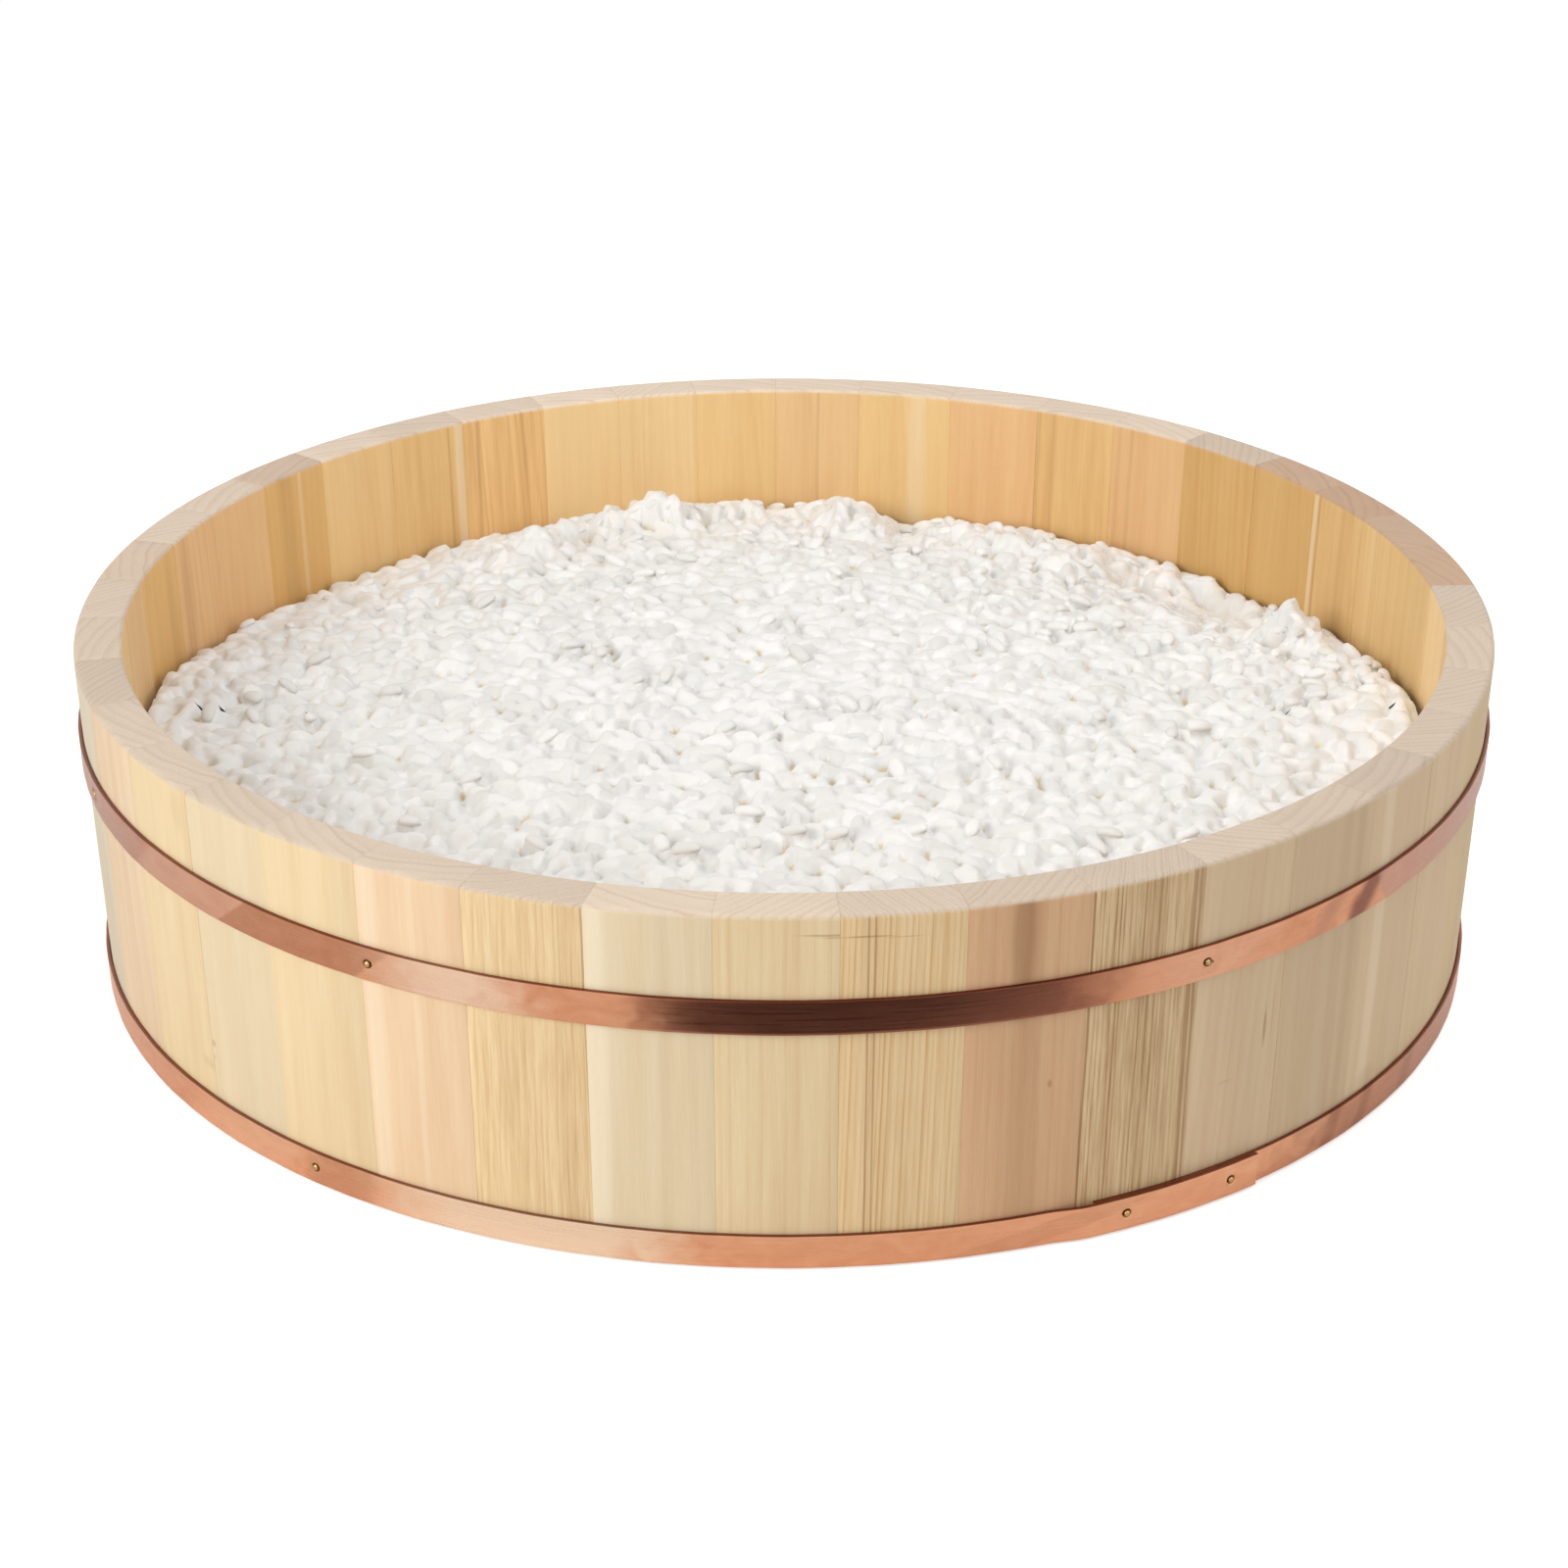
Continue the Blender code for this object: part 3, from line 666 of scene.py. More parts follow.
def copperStrip(name, hoop, pins):
    # Copper strip, rolled and rubbed bright by hand: brushed along its length, with thin tarnish
    # that deepens it to brown and, in places, a greyer pink, and with painted highlights and a
    # painted dark reflection
    material, shader, add = newMaterial(name, {"Metallic": 1.0})
    place = add("TexCoord", out="Object")
    apart = add("SeparateXYZ", (place,)).node.outputs
    minusY = add("Math.MULTIPLY", (apart["Y"], -1.0))
    azimuth = add("Math.ARCTAN2", (apart["X"], minusY))
    azimuth = add("Math.MULTIPLY", (azimuth, 180.0 / math.pi))
    upward = add("Math.SUBTRACT", (apart["Z"], hoop["middle"]))
    upward = add("Math.MULTIPLY", (upward, 1.0 / hoopSettings["width"]))

    # rubbing marks, drawn 0.5 mm wide and some 40 mm long so that they show
    brushed = add("Mapping", {"Vector": place, "Scale": (40.0, 40.0, 1900.0)})
    brushed = add("TexNoise", {"Vector": brushed, "Scale": 1.0, "Detail": 3.0, "Roughness": 0.65})
    cloudy = add("Mapping", {"Vector": place, "Scale": (1.0, 1.0, 1.6)})
    cloudy = add("TexNoise", {"Vector": cloudy, "Scale": 140.0, "Detail": 3.0, "Distortion": 0.6})
    colour = add("Mix", (cloudy, *hoop["copper"]))
    ragged = add("Math.SUBTRACT", (cloudy, 0.5))
    for start, end, soft, slant, darker, greyer in hoop["tarnishAndPaintedSheen"]:
        slanted = add("Math.MULTIPLY_ADD", (upward, -slant, azimuth))
        slanted = add("Math.MULTIPLY_ADD", (ragged, soft * 1.5, slanted))
        rising, falling = [add("MapRange", (slanted, *limits), interpolation_type="SMOOTHSTEP")
                           for limits in ((start - soft, start + soft), (end + soft, end - soft))]
        inPatch = add("Math.MULTIPLY", (rising, falling))
        amount = add("Math.MULTIPLY", (inPatch, abs(darker)))
        # mixes toward dark brown (tarnish, and the painted dark reflection on the upper hoop's
        # front) or toward pale (mostly painted highlight)
        colour = add("Mix", (amount, colour, "#7a3d2b" if darker > 0 else "#ffe6cc"))
        amount = add("Math.MULTIPLY", (inPatch, greyer))
        colour = add("Mix", (amount, colour, "#d3a593"))

    # dirt keeps a dark ring round each pin, down in its dimple
    ring = hoopSettings["dimpleRadius"]
    perDegree = math.radians(outsideAt(hoop["middle"])) / ring
    for pin in pins:
        across = add("Math.SUBTRACT", (azimuth, pin))
        across = add("Math.MULTIPLY", (across, perDegree))
        above = add("Math.MULTIPLY", (upward, hoopSettings["width"] / ring))
        away = add("CombineXYZ", (across, above))
        away = add("VectorMath.LENGTH", (away,), out="Value")
        away = add("MapRange", (away, 1.15, 0.95, 0.0, 0.85))
        colour = add("Mix", (away, colour, "#3f2416"))

    # painted shade: a thin dark line along the strip's top edge, where it meets the wall
    edge = add("MapRange", (upward, 0.468, 0.486, 0.0, 0.85))
    colour = add("Mix", (edge, colour, "#6b3022"))
    worn = add("MapRange", (brushed, 0.3, 0.7, 0.96, 1.03))
    fillSockets(shader, {
        "Base Color": add("VectorMath.SCALE", {0: colour, "Scale": worn}),
        "Roughness": add("MapRange", (brushed, 0.3, 0.7, 0.25, 0.33)),
        "Normal": add("Bump", {"Height": brushed, "Strength": 0.15, "Distance": 0.00005}),
    })
    return material


def spinOn(degrees, steps):
    # in this direction a positive turn would go back towards the left
    bpy.ops.mesh.spin(steps=steps, angle=-math.radians(degrees),
                      center=(0.0, 0.0, 0.0), axis=(0.0, 0.0, 1.0))


def spinAlong(stops):
    # in finer steps at the pins, so that the dimples have a shape
    for low, high in zip(stops, stops[1:]):
        atPin = high - low < 2.1 * hoopSettings["nearPin"]
        step = hoopSettings["fineStep" if atPin else "step"]
        spinOn(high - low, max(1, round((high - low) / step)))


def hoopSection(label, radius):
    # the strip cut across, over +X, leaning as the wall does
    middle, width = hoopSettings[label]["middle"], hoopSettings["width"]
    faces = hoopSettings["outerFace"], hoopSettings["innerFace"]
    bpy.ops.mesh.primitive_plane_add(size=1.0, rotation=(math.pi / 2, lean, 0.0),
                                     location=(radius + sum(faces) / 2, 0.0, middle))
    strip = bpy.context.object
    strip.name = label + "CopperHoop"
    strip.scale = (faces[0] - faces[1], width, 1.0)
    applyPlace(strip)
    pick(strip, "VERT", lambda v: True)
    bpy.ops.mesh.bevel(offset=hoopSettings["corner"], segments=2, affect="VERTICES")
    for i in range(1, hoopSettings["rows"]):
        cut((0.0, 0.0, middle + width * (i / hoopSettings["rows"] - 0.5)), (0.0, 0.0, 1.0))
    leaveEdit()
    return strip


def fitByHand(mesh, middle, radius, pins, lapPins):
    # a slight wave, and a dimple with a raised lip where each pin was driven in
    spots = readSpots(mesh)
    angle = np.arctan2(spots[:, 0], -spots[:, 1])
    move = 0.00003 * np.sin(angle * 37.0 + 1.3)
    move += 0.000025 * np.sin(angle * 61.0 + spots[:, 2] * 260.0)
    move += 0.00002 * np.sin(angle * 113.0 + 0.7)
    lift = np.hypot(spots[:, 0], spots[:, 1]) - (tub["footRadius"] + spots[:, 2] * math.tan(lean))
    for pin in pins + lapPins:
        across = (angle - math.radians(pin) + math.pi) % (2 * math.pi) - math.pi
        away = np.hypot(across * radius, spots[:, 2] - middle) / hoopSettings["dimpleRadius"]
        dent = -hoopSettings["dimple"] * (1.0 - softStep(away, 0.75, 1.45))
        dent += hoopSettings["lip"] * np.exp(-((away - 1.55) / 0.28) ** 2)
        under = (pin in lapPins) & (lift < hoopSettings["outerFace"] + 0.0001)
        move = move + np.where(under, 0.0, dent)
    spots[:, 0] += np.sin(angle) * move
    spots[:, 1] -= np.cos(angle) * move
    writeSpots(mesh, spots)


def makeHoop(label):
    hoop = hoopSettings[label]
    radius = outsideAt(hoop["middle"])
    lap, ramp, clear, setback = [degreesOf(hoopSettings[k], radius)
                                 for k in ("lapLength", "lapRamp", "lapClear", "lapPinSetback")]
    lapStep = hoopSettings["outerFace"] - hoopSettings["innerFace"] + hoopSettings["lapRise"]
    start = hoop["lapAzimuth"] - lap / 2
    rampEnd = start + 360.0 - clear
    spread = lap / 2 - setback
    lapPins = (hoop["lapAzimuth"] - spread, hoop["lapAzimuth"] + spread)
    pins = hoop["pins"] + lapPins
    strip = hoopSection(label, radius)
    sectionSize = len(strip.data.vertices)
    strip.rotation_euler = (0.0, 0.0, math.radians(start - 90.0))
    applyPlace(strip)

    # once round
    near = hoopSettings["nearPin"]
    stops = [start, rampEnd - ramp]
    for pin in [p + 360.0 * k for p in pins for k in (-1, 0, 1)]:
        if start + near + 0.3 < pin < rampEnd - ramp - near - 0.3:
            stops += [pin - near, pin + near]
    editAll(strip)
    spinAlong(sorted(stops))
    # a step out, and on over its own start
    climbs = hoopSettings["rampSteps"]
    for k in range(climbs):
        spinOn(ramp / climbs, 1)
        azimuth = rampEnd - ramp + ramp * (k + 1) / climbs
        rise = lapStep * (softStep((k + 1) / climbs, 0.0, 1.0) - softStep(k / climbs, 0.0, 1.0))
        bpy.ops.transform.translate(value=around(rise, azimuth, 0.0))
    overlap = [pin + side for pin in lapPins for side in (360.0 - near, 360.0 + near)]
    spinAlong([rampEnd, *overlap, start + 360.0 + lap])
    leaveEdit()
    cleanMesh(strip)

    mesh = strip.data
    fitByHand(mesh, hoop["middle"], radius, hoop["pins"], lapPins)
    take(strip)
    bpy.ops.object.shade_smooth_by_angle(angle=math.radians(40.0))
    mesh.materials.append(copperStrip(f"rolled copper strip {label}", hoop, pins))
    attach(strip, "tub")
    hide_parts("hoop_" + label)
    print(label, "hoop closed,", len(mesh.vertices) // sectionSize, "sections")
    return [(pin, 0.0) for pin in hoop["pins"]] + [(pin, lapStep) for pin in lapPins]


pinSettings = {
    "headRadius": 0.00078,
    "headHeight": 0.00056,
    "shankRadius": 0.0005,
    "shankLength": 0.0075,
    "sunk": 0.00016,
}


def brassPin():
    # Brass nail, drawn wire with a hammered round head: a yellow glint with a dark underside
    material, shader, add = newMaterial("hammered brass pin", {"Metallic": 1.0, "Roughness": 0.26})
    place = add("TexCoord", out="Object")
    dull = add("TexNoise", {"Vector": place, "Scale": 900.0, "Detail": 2.0})
    fillSockets(shader, {
        "Base Color": add("Mix", (dull, "#e6c98e", "#a98450")),
        "Normal": add("Bump", {"Height": dull, "Strength": 0.6, "Distance": 0.00012}),
    })
    return material


def modelPin():
    head, shank = pinSettings["headRadius"], pinSettings["shankRadius"]
    bpy.ops.mesh.primitive_uv_sphere_add(segments=20, ring_count=12, radius=head)
    pin = bpy.context.object
    pin.name = "pinPattern"
    pin.scale = (1.0, 1.0, pinSettings["headHeight"] / head)
    applyPlace(pin)
    editAll(pin)
    cut((0.0, 0.0, 0.0), (0.0, 0.0, 1.0), use_fill=True, clear_inner=True)
    leaveEdit()
    pick(pin, "FACE", lambda f: f.normal.z < -0.9 or f.center.z < 0.000001)
    bpy.ops.mesh.inset(thickness=head - shank, depth=0.0)
    downward = (0.0, 0.0, -pinSettings["shankLength"])
    bpy.ops.mesh.extrude_region_move(TRANSFORM_OT_translate={"value": downward})
    leaveEdit()
    cleanMesh(pin)
    bpy.ops.object.shade_smooth_by_angle(angle=math.radians(50.0))
    return pin


def drivePins(pattern, brass, label, places):
    middle = hoopSettings[label]["middle"]
    for i, (azimuth, lift) in enumerate(places):
        outward = around(math.cos(lean), azimuth, -math.sin(lean))
        sideways = around(1.0, azimuth + 90.0, 0.0)
        seat = around(outsideAt(middle), azimuth, middle)
        seat += outward * (hoopSettings["outerFace"] + lift - pinSettings["sunk"])
        stand = Matrix((sideways, outward.cross(sideways), outward)).transposed().to_4x4()
        stand.translation = seat
        pin = copyOf(pattern, f"{label}BrassPin{i + 1}")
        pin.matrix_world = stand
        applyPlace(pin)
        pin.data.materials.append(brass)
        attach(pin, "tub")
        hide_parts(f"pin_{label}_{i + 1}")


pinPattern = modelPin()
brass = brassPin()
for label in ("upper", "lower"):
    drivePins(pinPattern, brass, label, makeHoop(label))
bpy.data.objects.remove(pinPattern)
print("12 pins driven")

riceSettings = {
    "seed": 7,
    "grain": (0.0070, 0.0039, 0.0028),  # length, width, height
    "count": 10600,
    "turns": 36,  # the ways that a grain may lie
    "tries": 4,
    "depthAtWall": 0.0360,
    "crown": 0.0100,
    "wallGap": 0.0009,
    "looseLayer": 0.0060,  # how deep the loose grains go
    "sink": 0.50,  # cooked grains press into each other: 1 is hard, 0 lets them merge
    "pressed": 0.45,  # what is left of the pile's unevenness once it is pressed down
    "merged": 0.50,  # what is left of the grains' relief where they stick together
    "bankMerged": 0.90,
    "looseFrom": (0.0025, 0.0004),  # how far a loose grain stands out: in the middle, on the bank
    "gapShare": 5.0,  # per cent of the surface that is a deep gap
    "cell": 0.0005,
    "heaps": 4,
    "grainSizes": ((0.84, 1.10), (0.88, 1.10), (0.9, 1.05)),  # shares of its three measures
    # the deep gaps, and loose grains lying low, take the painted cream shade of the gaps
    "deepFrom": 0.0024,  # a loose grain lower than this turns to the colour of the gaps
    "deepOver": 0.0012,
    "sideCount": 2300,
    "sideTop": 0.0335,
    "sideBack": 0.0018,
    "sideSwing": 0.7,
    "sideUneven": 0.0007,
    "bankGrain": 0.78,  # the loose grains on the bank are small
    "bankGrainFrom": (0.04, 0.132),  # how far back, and how far out
    # The lumpy bank that was pushed up against the back wall, how high it is in mm at each
    # azimuth, and how high the rice has been pushed up the wall itself
    "bankIn": 0.012,
    "bankSlopes": (0.020, 0.009),  # towards the middle, towards the wall
    "bankSector": (92.0, 224.0),
    "bankEnds": 8.0,  # degrees
    "wallSlope": 0.028,
    "bank": (
        (90, 1.0), (96, 3.0), (106, 3.8), (113, 1.4), (120, -2.6), (127, -3.0), (133, -1.4),
        (139, -1.0), (144, 0.8), (148, -3.0), (154, 2.6), (159, 0.8), (163, -1.2), (167, -5.0),
        (171, 1.0), (176, 2.2), (180, 1.6), (184, 1.4), (188, 3.6), (193, 6.6), (197, 3.6),
        (201, 2.4), (206, 4.0), (211, 5.0), (216, 4.2), (221, 0.6), (230, 0.0)),
    "atWall": (
        (0, 0.0), (60, 0.0), (75, 3.0), (90, 6.5), (100, 3.5), (110, 0.0), (235, 0.0),
        (246, 1.8), (255, 4.0), (264, 8.0), (278, 6.0), (295, 0.0), (360, 0.0)),
    # lumps: how many, between which shares of the radius, how wide, and how high
    "hollows": (60, (0.0, 0.9), (0.009, 0.018), (-0.0016, 0.0012)),
    "bankClumps": (34, (0.82, 0.97), (0.009, 0.014), (-0.0020, 0.0048)),
    "bankLumps": (170, (0.76, 1.0), (0.0040, 0.0070), (-0.0048, 0.0046)),
    "patches": (300, (0.0, 1.0), (0.006, 0.014), (-0.3, 0.3)),
}


def cookedRice():
    # Short-grain rice, boiled and dressed: white, moist grains that stick together. Some let more
    # light through and look greyer. Their flanks are nearly as bright as their backs, and the
    # deep gaps are painted a cream shade instead of dark.
    material, shader, add = newMaterial("cooked short-grain rice", {
        "Roughness": 0.45,
        "IOR": 1.40,
        "Coat Weight": 0.25,
        "Coat Roughness": 0.20,
    })
    tone = add("Attribute", out="Fac", attribute_name="grainTone")
    deep = add("Attribute", out="Fac", attribute_name="paintedGapShade")
    place = add("TexCoord", out="Object")
    colour = add("Mix", (tone, "#f7f6f4", "#e2e1dd"))
    cloud = add("TexNoise", {"Vector": place, "Scale": 260.0, "Detail": 1.0})
    cloud = add("MapRange", (cloud, 0.35, 0.7, 0.0, 0.4))
    colour = add("Mix", (cloud, colour, "#eceae5"))
    colour = add("Mix", (deep, colour, "#e2cda3"))
    softened = add("NewGeometry", out="Normal")
    softened = add("VectorMath.ADD", (softened, (0.0, 0.0, 0.6)))
    softened = add("VectorMath.NORMALIZE", (softened,))
    skin = add("TexNoise", {"Vector": place, "Scale": 700.0, "Detail": 2.0})
    skin = add("Bump", {"Height": skin, "Strength": 0.3, "Distance": 0.0003})
    fillSockets(shader, {"Base Color": colour, "Normal": softened, "Coat Normal": skin})
    return material


def modelGrain():
    # one grain, blunt at one end and slightly bent: few faces, as it is laid thousands of times
    long, wide, high = riceSettings["grain"]
    bpy.ops.mesh.primitive_uv_sphere_add(segments=10, ring_count=6, radius=0.5,
                                         rotation=(0.0, math.pi / 2, 0.0))
    grain = bpy.context.object
    grain.name = "grainPattern"
    applyPlace(grain)
    grain.scale = (long, wide, high)
    applyPlace(grain)
    pick(grain, "VERT", lambda v: abs(v.co.x) > long * 0.3
         and math.hypot(v.co.y, v.co.z) > high * 0.1)
    bpy.ops.transform.resize(value=(1.0, 1.35, 1.35), center_override=(0.0, 0.0, 0.0))
    pick(grain, "VERT", lambda v: v.co.x > long * 0.3)
    bpy.ops.transform.translate(value=(0.0, 0.0, -high * 0.08))
    bpy.ops.transform.resize(value=(1.0, 0.9, 0.9), center_override=(long * 0.4, 0.0, 0.0))
    pick(grain, "VERT", lambda v: v.co.x < -long * 0.3)
    bpy.ops.transform.translate(value=(0.0, 0.0, -high * 0.08))
    leaveEdit()
    return grain


def lumps(x, y, reach, kind, chance, turns=(-180.0, 180.0)):
    # round humps and hollows, scattered between two azimuths
    count, outs, sizes, rises = riceSettings[kind]
    lift = np.zeros_like(x)
    for i in range(count):
        out = math.sqrt(chance.uniform(*[(reach * share) ** 2 for share in outs]))
        middle = around(out, chance.uniform(*turns), 0.0)
        size, rise = chance.uniform(*sizes), chance.uniform(*rises)
        lift += rise * np.exp(-((x - middle.x) ** 2 + (y - middle.y) ** 2) / size ** 2)
    return lift


def riceSurface(x, y, reach):
    # the even crown, gentle unevenness, and the bank along the back wall
    chance = np.random.default_rng(riceSettings["seed"] + 1)
    radius = np.hypot(x, y)
    share = np.minimum(radius / reach, 1.05)
    height = riceSettings["depthAtWall"] + riceSettings["crown"] * (1.0 - share ** 2)
    height += lumps(x, y, reach, "hollows", chance)
    azimuth = np.degrees(np.arctan2(x, -y)) % 360.0
    turns, rises = np.array(riceSettings["bank"]).T
    crest = np.interp(azimuth, turns, rises, left=0.0, right=0.0) * 0.001
    bankTop = reach - riceSettings["bankIn"]
    across = (radius - bankTop) / np.where(radius < bankTop, *riceSettings["bankSlopes"])
    ridge = np.exp(-across ** 2)
    sector = riceSettings["bankSector"]
    ends = [np.clip(part / riceSettings["bankEnds"], 0.0, 1.0)
            for part in (azimuth - sector[0], sector[1] - azimuth)]
    onBank = ridge * ends[0] * ends[1]
    height += crest * ridge
    turns, rises = np.array(riceSettings["atWall"]).T
    toWall = (reach - np.minimum(radius, reach)) / riceSettings["wallSlope"]
    height += np.interp(azimuth, turns, rises) * 0.001 * np.exp(-toWall ** 2)
    for kind in ("bankClumps", "bankLumps"):
        height += onBank * lumps(x, y, reach, kind, chance, sector)
    height -= onBank * 0.0014
    patches = lumps(x, y, reach, "patches", chance)
    return height, onBank, np.clip(1.0 + patches, 0.45, 1.6)


def smoothed(heights, cells):
    # mean height of the neighbourhood, first along the rows, then along the columns
    for axis in (0, 1):
        heights = sum(np.roll(heights, k, axis) for k in range(-cells, cells + 1)) / (2 * cells + 1)
    return heights


def halfOf(grid):
    return (grid.shape[0] - 1) * riceSettings["cell"] / 2


def readGrid(grid, x, y):
    column, row = [np.clip(np.rint((value + halfOf(grid)) / riceSettings["cell"]).astype(int),
                           0, grid.shape[0] - 1) for value in (x, y)]
    return grid[row, column]


def grainPrints():
    # the cells that a lying grain covers in each of its turns, and how high it is over them
    cell = riceSettings["cell"]
    a, b, c = [size / 2 for size in riceSettings["grain"]]
    gx, gy = np.meshgrid(np.arange(-8, 9), np.arange(-8, 9))
    prints = []
    for k in range(riceSettings["turns"]):
        turn = math.pi * k / riceSettings["turns"]
        u = (gx * math.cos(turn) + gy * math.sin(turn)) * cell
        v = (-gx * math.sin(turn) + gy * math.cos(turn)) * cell
        room = 1.0 - (u / a) ** 2 - (v / b) ** 2
        inside = room > 0.0
        bulge = c * np.sqrt(room[inside])
        prints.append((gx[inside], gy[inside], u[inside], v[inside], bulge, turn))
    return prints


def dropGrains(wanted, reach, chance):
    # One by one: each tries a few places, takes the lowest, tips with the slope under it, and
    # raises the surface that the next one lands on.
    cell, half = riceSettings["cell"], halfOf(wanted)
    a, b = [size / 2 for size in riceSettings["grain"][:2]]
    prints = grainPrints()
    heights = wanted - riceSettings["looseLayer"]
    grains = []
    for i in range(riceSettings["count"]):
        tried = []
        for attempt in range(riceSettings["tries"]):
            out, turn = math.sqrt(chance.random()), chance.uniform(0.0, 2 * math.pi)
            gx, gy, u, v, bulge, yaw = prints[chance.integers(riceSettings["turns"])]
            radius = out * (reach - math.hypot(a * math.cos(turn - yaw), b * math.sin(turn - yaw)))
            x, y = radius * math.cos(turn), radius * math.sin(turn)
            column, row = int(round((x + half) / cell)), int(round((y + half) / cell))
            under = heights[row + gy, column + gx]
            slope = (under[u > a * 0.45].mean() - under[u < -a * 0.45].mean()) / (a * 1.3)
            roll = (under[v > b * 0.3].mean() - under[v < -b * 0.3].mean()) / (b * 1.3)
            slope = max(-0.9, min(0.9, slope * 0.9 + chance.normal(0.0, 0.10)))
            roll = max(-0.7, min(0.7, roll * 0.7))
            tipped = slope * u + roll * v
            z = (under - tipped + bulge * riceSettings["sink"]).max()
            tried.append((z - wanted[row, column], tipped + bulge,
                          (z, x, y, yaw, slope, roll, row + gy, column + gx, bulge)))
        low, top, grain = min(tried, key=lambda attempt: attempt[0])
        z, rows, columns = grain[0], grain[6], grain[7]
        heights[rows, columns] = np.maximum(heights[rows, columns], z + top)
        grains.append(grain)
    return grains, heights


def settleGrains(grains, heights, wanted, covered, onBank, chance):
    # the pile comes to rest with its mean surface where it is wanted, pressed flatter
    cell, half, pressed = riceSettings["cell"], halfOf(wanted), riceSettings["pressed"]
    excess, closer = [smoothed((heights - wanted) * covered, cells)
                      / np.maximum(smoothed(covered, cells), 0.05) for cells in (12, 4)]
    excess += (closer - excess) * onBank
    excess += smoothed(heights - excess - wanted, 2) * (1.0 - pressed)
    ground = np.gradient(smoothed(wanted, 4), cell)
    pressedTop = np.full_like(heights, -1.0)
    tones = np.full_like(heights, 0.5)
    for i, (z, x, y, yaw, slope, roll, rows, columns, bulge) in enumerate(grains):
        along, across = (math.cos(yaw), math.sin(yaw)), (-math.sin(yaw), math.cos(yaw))
        rises = readGrid(ground[1], x, y), readGrid(ground[0], x, y)
        ahead, aside = [rises[0] * way[0] + rises[1] * way[1] for way in (along, across)]
        slope, roll = ahead + (slope - ahead) * pressed, aside + (roll - aside) * pressed
        u, v = [(columns * cell - half - x) * way[0] + (rows * cell - half - y) * way[1]
                for way in (along, across)]
        z = z - readGrid(excess, x, y)
        top = slope * u + roll * v + bulge
        onTop = z + top > pressedTop[rows, columns]
        pressedTop[rows[onTop], columns[onTop]] = (z + top)[onTop]
        tones[rows[onTop], columns[onTop]] = chance.random()
        grains[i] = (z, x, y, yaw, slope, roll, rows, columns, top)
    return np.where(pressedTop > 0.0, pressedTop, heights - excess), tones


def stickTogether(heights, covered, onBank, patches):
    # level is the surface without its grains; their relief is softened where they stick
    inside = np.maximum(smoothed(covered, 5), 0.05)
    level = smoothed(smoothed(heights * covered, 5) / inside * covered, 5) / inside
    relief = smoothed(heights, 1) - level
    # the deepest gaps and the bank's hollows get a painted cream shade
    flat = (smoothed(covered, 12) > 0.99) & (onBank < 0.1)
    lowest = np.percentile(relief[flat], riceSettings["gapShare"])
    pits = np.clip((lowest - relief) / 0.0003, 0.0, 1.0)
    hollows = np.clip((smoothed(level, 10) - level) / 0.0022, 0.0, 1.0) * onBank * 0.5
    merged, bankMerged = riceSettings["merged"], riceSettings["bankMerged"]
    surface = level + relief * (patches * (merged + (bankMerged - merged) * onBank))
    return level, surface, np.maximum(pits, hollows)


def layGrains(wanted, onBank, patches, reach):
    # the pile's surface with its grains in it, and those that stand out of it as loose ones
    chance = np.random.default_rng(riceSettings["seed"])
    line = riceSettings["cell"] * np.arange(wanted.shape[0]) - halfOf(wanted)
    covered = (np.hypot(line[:, None], line[None, :]) < reach).astype(float)
    grains, heights = dropGrains(wanted, reach, chance)
    heights, tones = settleGrains(grains, heights, wanted, covered, onBank, chance)
    level, surface, pits = stickTogether(heights, covered, onBank, patches)
    placed = []
    for z, x, y, yaw, slope, roll, rows, columns, top in grains:
        bank = readGrid(onBank, x, y)
        inMiddle, atBank = riceSettings["looseFrom"]
        looseFrom = inMiddle * (1.0 - bank) + atBank * bank
        cover = heights[rows, columns] - (z + top)
        if cover.min() < 0.0003 and (z + top - surface[rows, columns]).max() > looseFrom:
            flip = -1.0 if chance.random() < 0.5 else 1.0
            axis = Vector((math.cos(yaw), math.sin(yaw), slope)).normalized() * flip
            side = Vector((-math.sin(yaw), math.cos(yaw), roll))
            up = axis.cross(side).normalized() * flip
            # how low a loose grain lies sets how much painted gap shade it takes
            depth = readGrid(level, x, y) - z - riceSettings["deepFrom"]
            depth = min(1.0, max(0.0, depth / riceSettings["deepOver"]))
            placed.append((Vector((x, y, z)), axis, up, depth))
    return placed, (surface, pits, tones)


def sideGrains(chance, bottom):
    # grains pressed against the wall, which show once the rice is lifted out
    long, wide, high = riceSettings["grain"]
    top = bottom + riceSettings["sideTop"]
    placed = []
    for i in range(riceSettings["sideCount"]):
        azimuth = chance.uniform(-180.0, 180.0)
        z = chance.uniform(bottom + wide * 0.6, top - wide * 0.5)
        swing = chance.normal(0.0, riceSettings["sideSwing"])
        axis = around(1.0, azimuth + 90.0, 0.0) * math.cos(swing)
        axis += Vector((0.0, 0.0, math.sin(swing)))
        rise = abs(math.sin(swing)) * long / 2
        z = min(max(z, bottom + rise + 0.0004), top)
        sag = (long / 2 * math.cos(swing)) ** 2 / (2 * insideAt(z))
        radius = insideAt(z - rise) - riceSettings["wallGap"] - high / 2 - sag
        radius -= chance.uniform(0.0, riceSettings["sideUneven"])
        outward = around(1.0, azimuth, 0.0)
        depth = chance.uniform(0.0, 0.3)
        placed.append((around(radius, azimuth, z), axis.normalized(), outward, depth))
    return placed


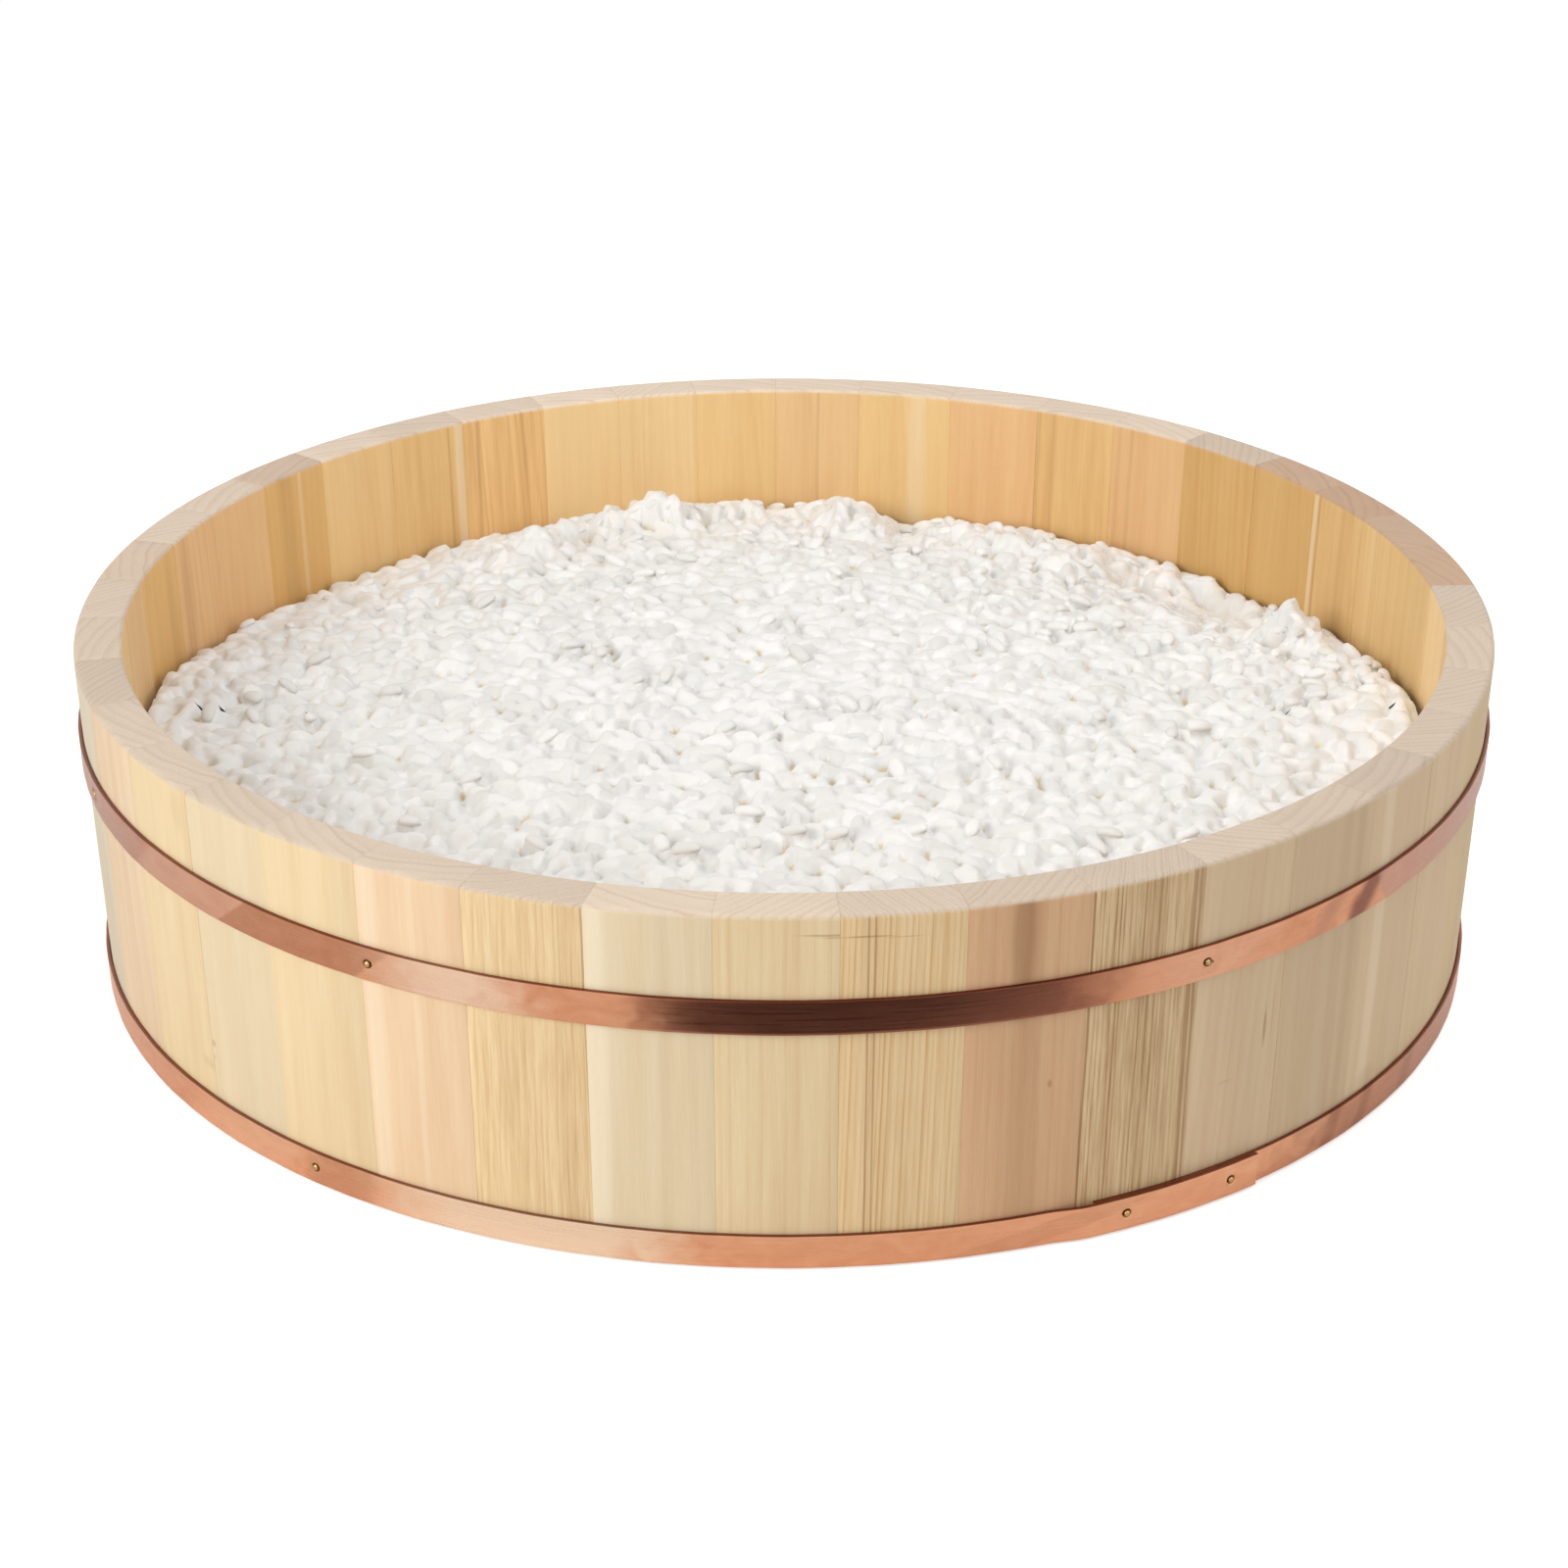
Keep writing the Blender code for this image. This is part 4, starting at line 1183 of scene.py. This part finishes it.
def heapGrains(name, pattern, placed, chance, material):
    # every grain is a copy of the one that was modelled, with its own size and turn
    shape = readSpots(pattern.data)
    faces = [tuple(p.vertices) for p in pattern.data.polygons]
    points, polygons, tones, depths = [], [], [], []
    back, out = riceSettings["bankGrainFrom"]
    for spot, axis, up, depth in placed:
        size = np.array([chance.uniform(*span) for span in riceSettings["grainSizes"]])
        if spot.y > back and math.hypot(spot.x, spot.y) > out:
            size *= riceSettings["bankGrain"]
        frameOf = np.array((axis[:], up.cross(axis)[:], up[:]))
        base = len(points) * len(shape)
        points.append((shape * size) @ frameOf + np.array(spot[:]))
        polygons += [tuple(base + i for i in face) for face in faces]
        tones.append(chance.random())
        depths.append(depth)
    mesh = bpy.data.meshes.new(name)
    mesh.from_pydata(np.concatenate(points).tolist(), [], polygons)
    addAttribute(mesh, "grainTone", np.repeat(tones, len(shape)))
    addAttribute(mesh, "paintedGapShade", np.repeat(depths, len(shape)))
    mesh.materials.append(material)
    mesh.shade_smooth()
    heap = bpy.data.objects.new(name, mesh)
    bpy.context.collection.objects.link(heap)
    cleanMesh(heap, merge=False)
    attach(heap, "rice")
    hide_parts("rice")


def packedRice(name, quarter, grids, bottom, reach, foot, material):
    # a quarter of the grains that stick together: one fine sheet in their shape, closed down the
    # wall and underneath
    surface, pits, tones = grids
    count = math.ceil(reach / riceSettings["cell"])
    size = count * riceSettings["cell"]
    middle = (quarter[0] * size / 2, quarter[1] * size / 2, 0.0)
    bpy.ops.mesh.primitive_grid_add(x_subdivisions=count, y_subdivisions=count, size=size,
                                    location=middle)
    bed = bpy.context.object
    bed.name = name
    applyPlace(bed)
    edge = reach - 0.0004
    pick(bed, "FACE", lambda f: math.hypot(f.center.x, f.center.y) > edge)
    bpy.ops.mesh.delete(type="FACE")
    leaveEdit()
    spots = readSpots(bed.data)
    inward = np.minimum(1.0, edge / np.maximum(np.hypot(spots[:, 0], spots[:, 1]), 0.001))
    spots[:, 0] *= inward
    spots[:, 1] *= inward
    spots[:, 2] = readGrid(surface, spots[:, 0], spots[:, 1])
    writeSpots(bed.data, spots)
    # the side stands back, and the grains along the wall stand out of it
    inner = edge - riceSettings["sideBack"]
    bpy.ops.object.mode_set(mode="EDIT")
    bpy.ops.mesh.select_mode(type="EDGE")
    bpy.ops.mesh.select_all(action="DESELECT")
    bpy.ops.mesh.select_non_manifold()
    bpy.ops.mesh.extrude_edges_move(TRANSFORM_OT_translate={"value": (0.0, 0.0, -0.0016)})
    bpy.ops.transform.resize(value=(inner / edge, inner / edge, 1.0),
                             center_override=(0.0, 0.0, 0.0))
    bpy.ops.mesh.extrude_edges_move()
    bpy.ops.transform.resize(value=(foot / inner, foot / inner, 0.0),
                             center_override=(0.0, 0.0, bottom))
    bpy.ops.mesh.edge_face_add()
    leaveEdit()
    cleanMesh(bed, merge=False)
    for label, grid in (("grainTone", tones), ("paintedGapShade", pits)):
        values = np.full(len(bed.data.vertices), 0.1)
        values[:len(spots)] = readGrid(grid, spots[:, 0], spots[:, 1])
        addAttribute(bed.data, label, values)
    bed.data.materials.append(material)
    bpy.ops.object.shade_smooth_by_angle(angle=math.radians(60.0))
    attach(bed, "rice")
    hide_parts("rice")
    print(name, len(bed.data.polygons), "faces")


def makeRice():
    material = cookedRice()
    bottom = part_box("rice")[0].z
    cell, gap = riceSettings["cell"], riceSettings["wallGap"]
    reach = insideAt(bottom + 0.030) - gap
    cells = round((reach + 0.006) / cell)
    line = cell * np.arange(-cells, cells + 1)
    x, y = np.meshgrid(line, line)
    wanted, onBank, patches = riceSurface(x, y, reach)
    placed, grids = layGrains(bottom + wanted, onBank, patches, reach)
    print(len(placed), "loose grains")
    chance = np.random.default_rng(riceSettings["seed"] + 2)
    placed += sideGrains(chance, bottom)
    pattern = modelGrain()
    count = riceSettings["heaps"]
    sectors = [[] for k in range(count)]
    for item in placed:
        turn = math.atan2(item[0].y, item[0].x) % (2 * math.pi)
        sectors[min(count - 1, int(turn / (2 * math.pi) * count))].append(item)
    for k, sector in enumerate(sectors):
        heapGrains(f"riceGrains{k + 1}", pattern, sector, chance, material)
    bpy.data.objects.remove(pattern)
    foot = insideAt(bottom) - gap - riceSettings["sideBack"]
    for k, quarter in enumerate(((1, 1), (-1, 1), (-1, -1), (1, -1))):
        packedRice(f"packedRice{k + 1}", quarter, grids, bottom, reach, foot, material)
    fullest = max(len(sector) for sector in sectors)
    print("rice laid:", len(placed), "grains,", fullest, "in the fullest heap")


makeRice()
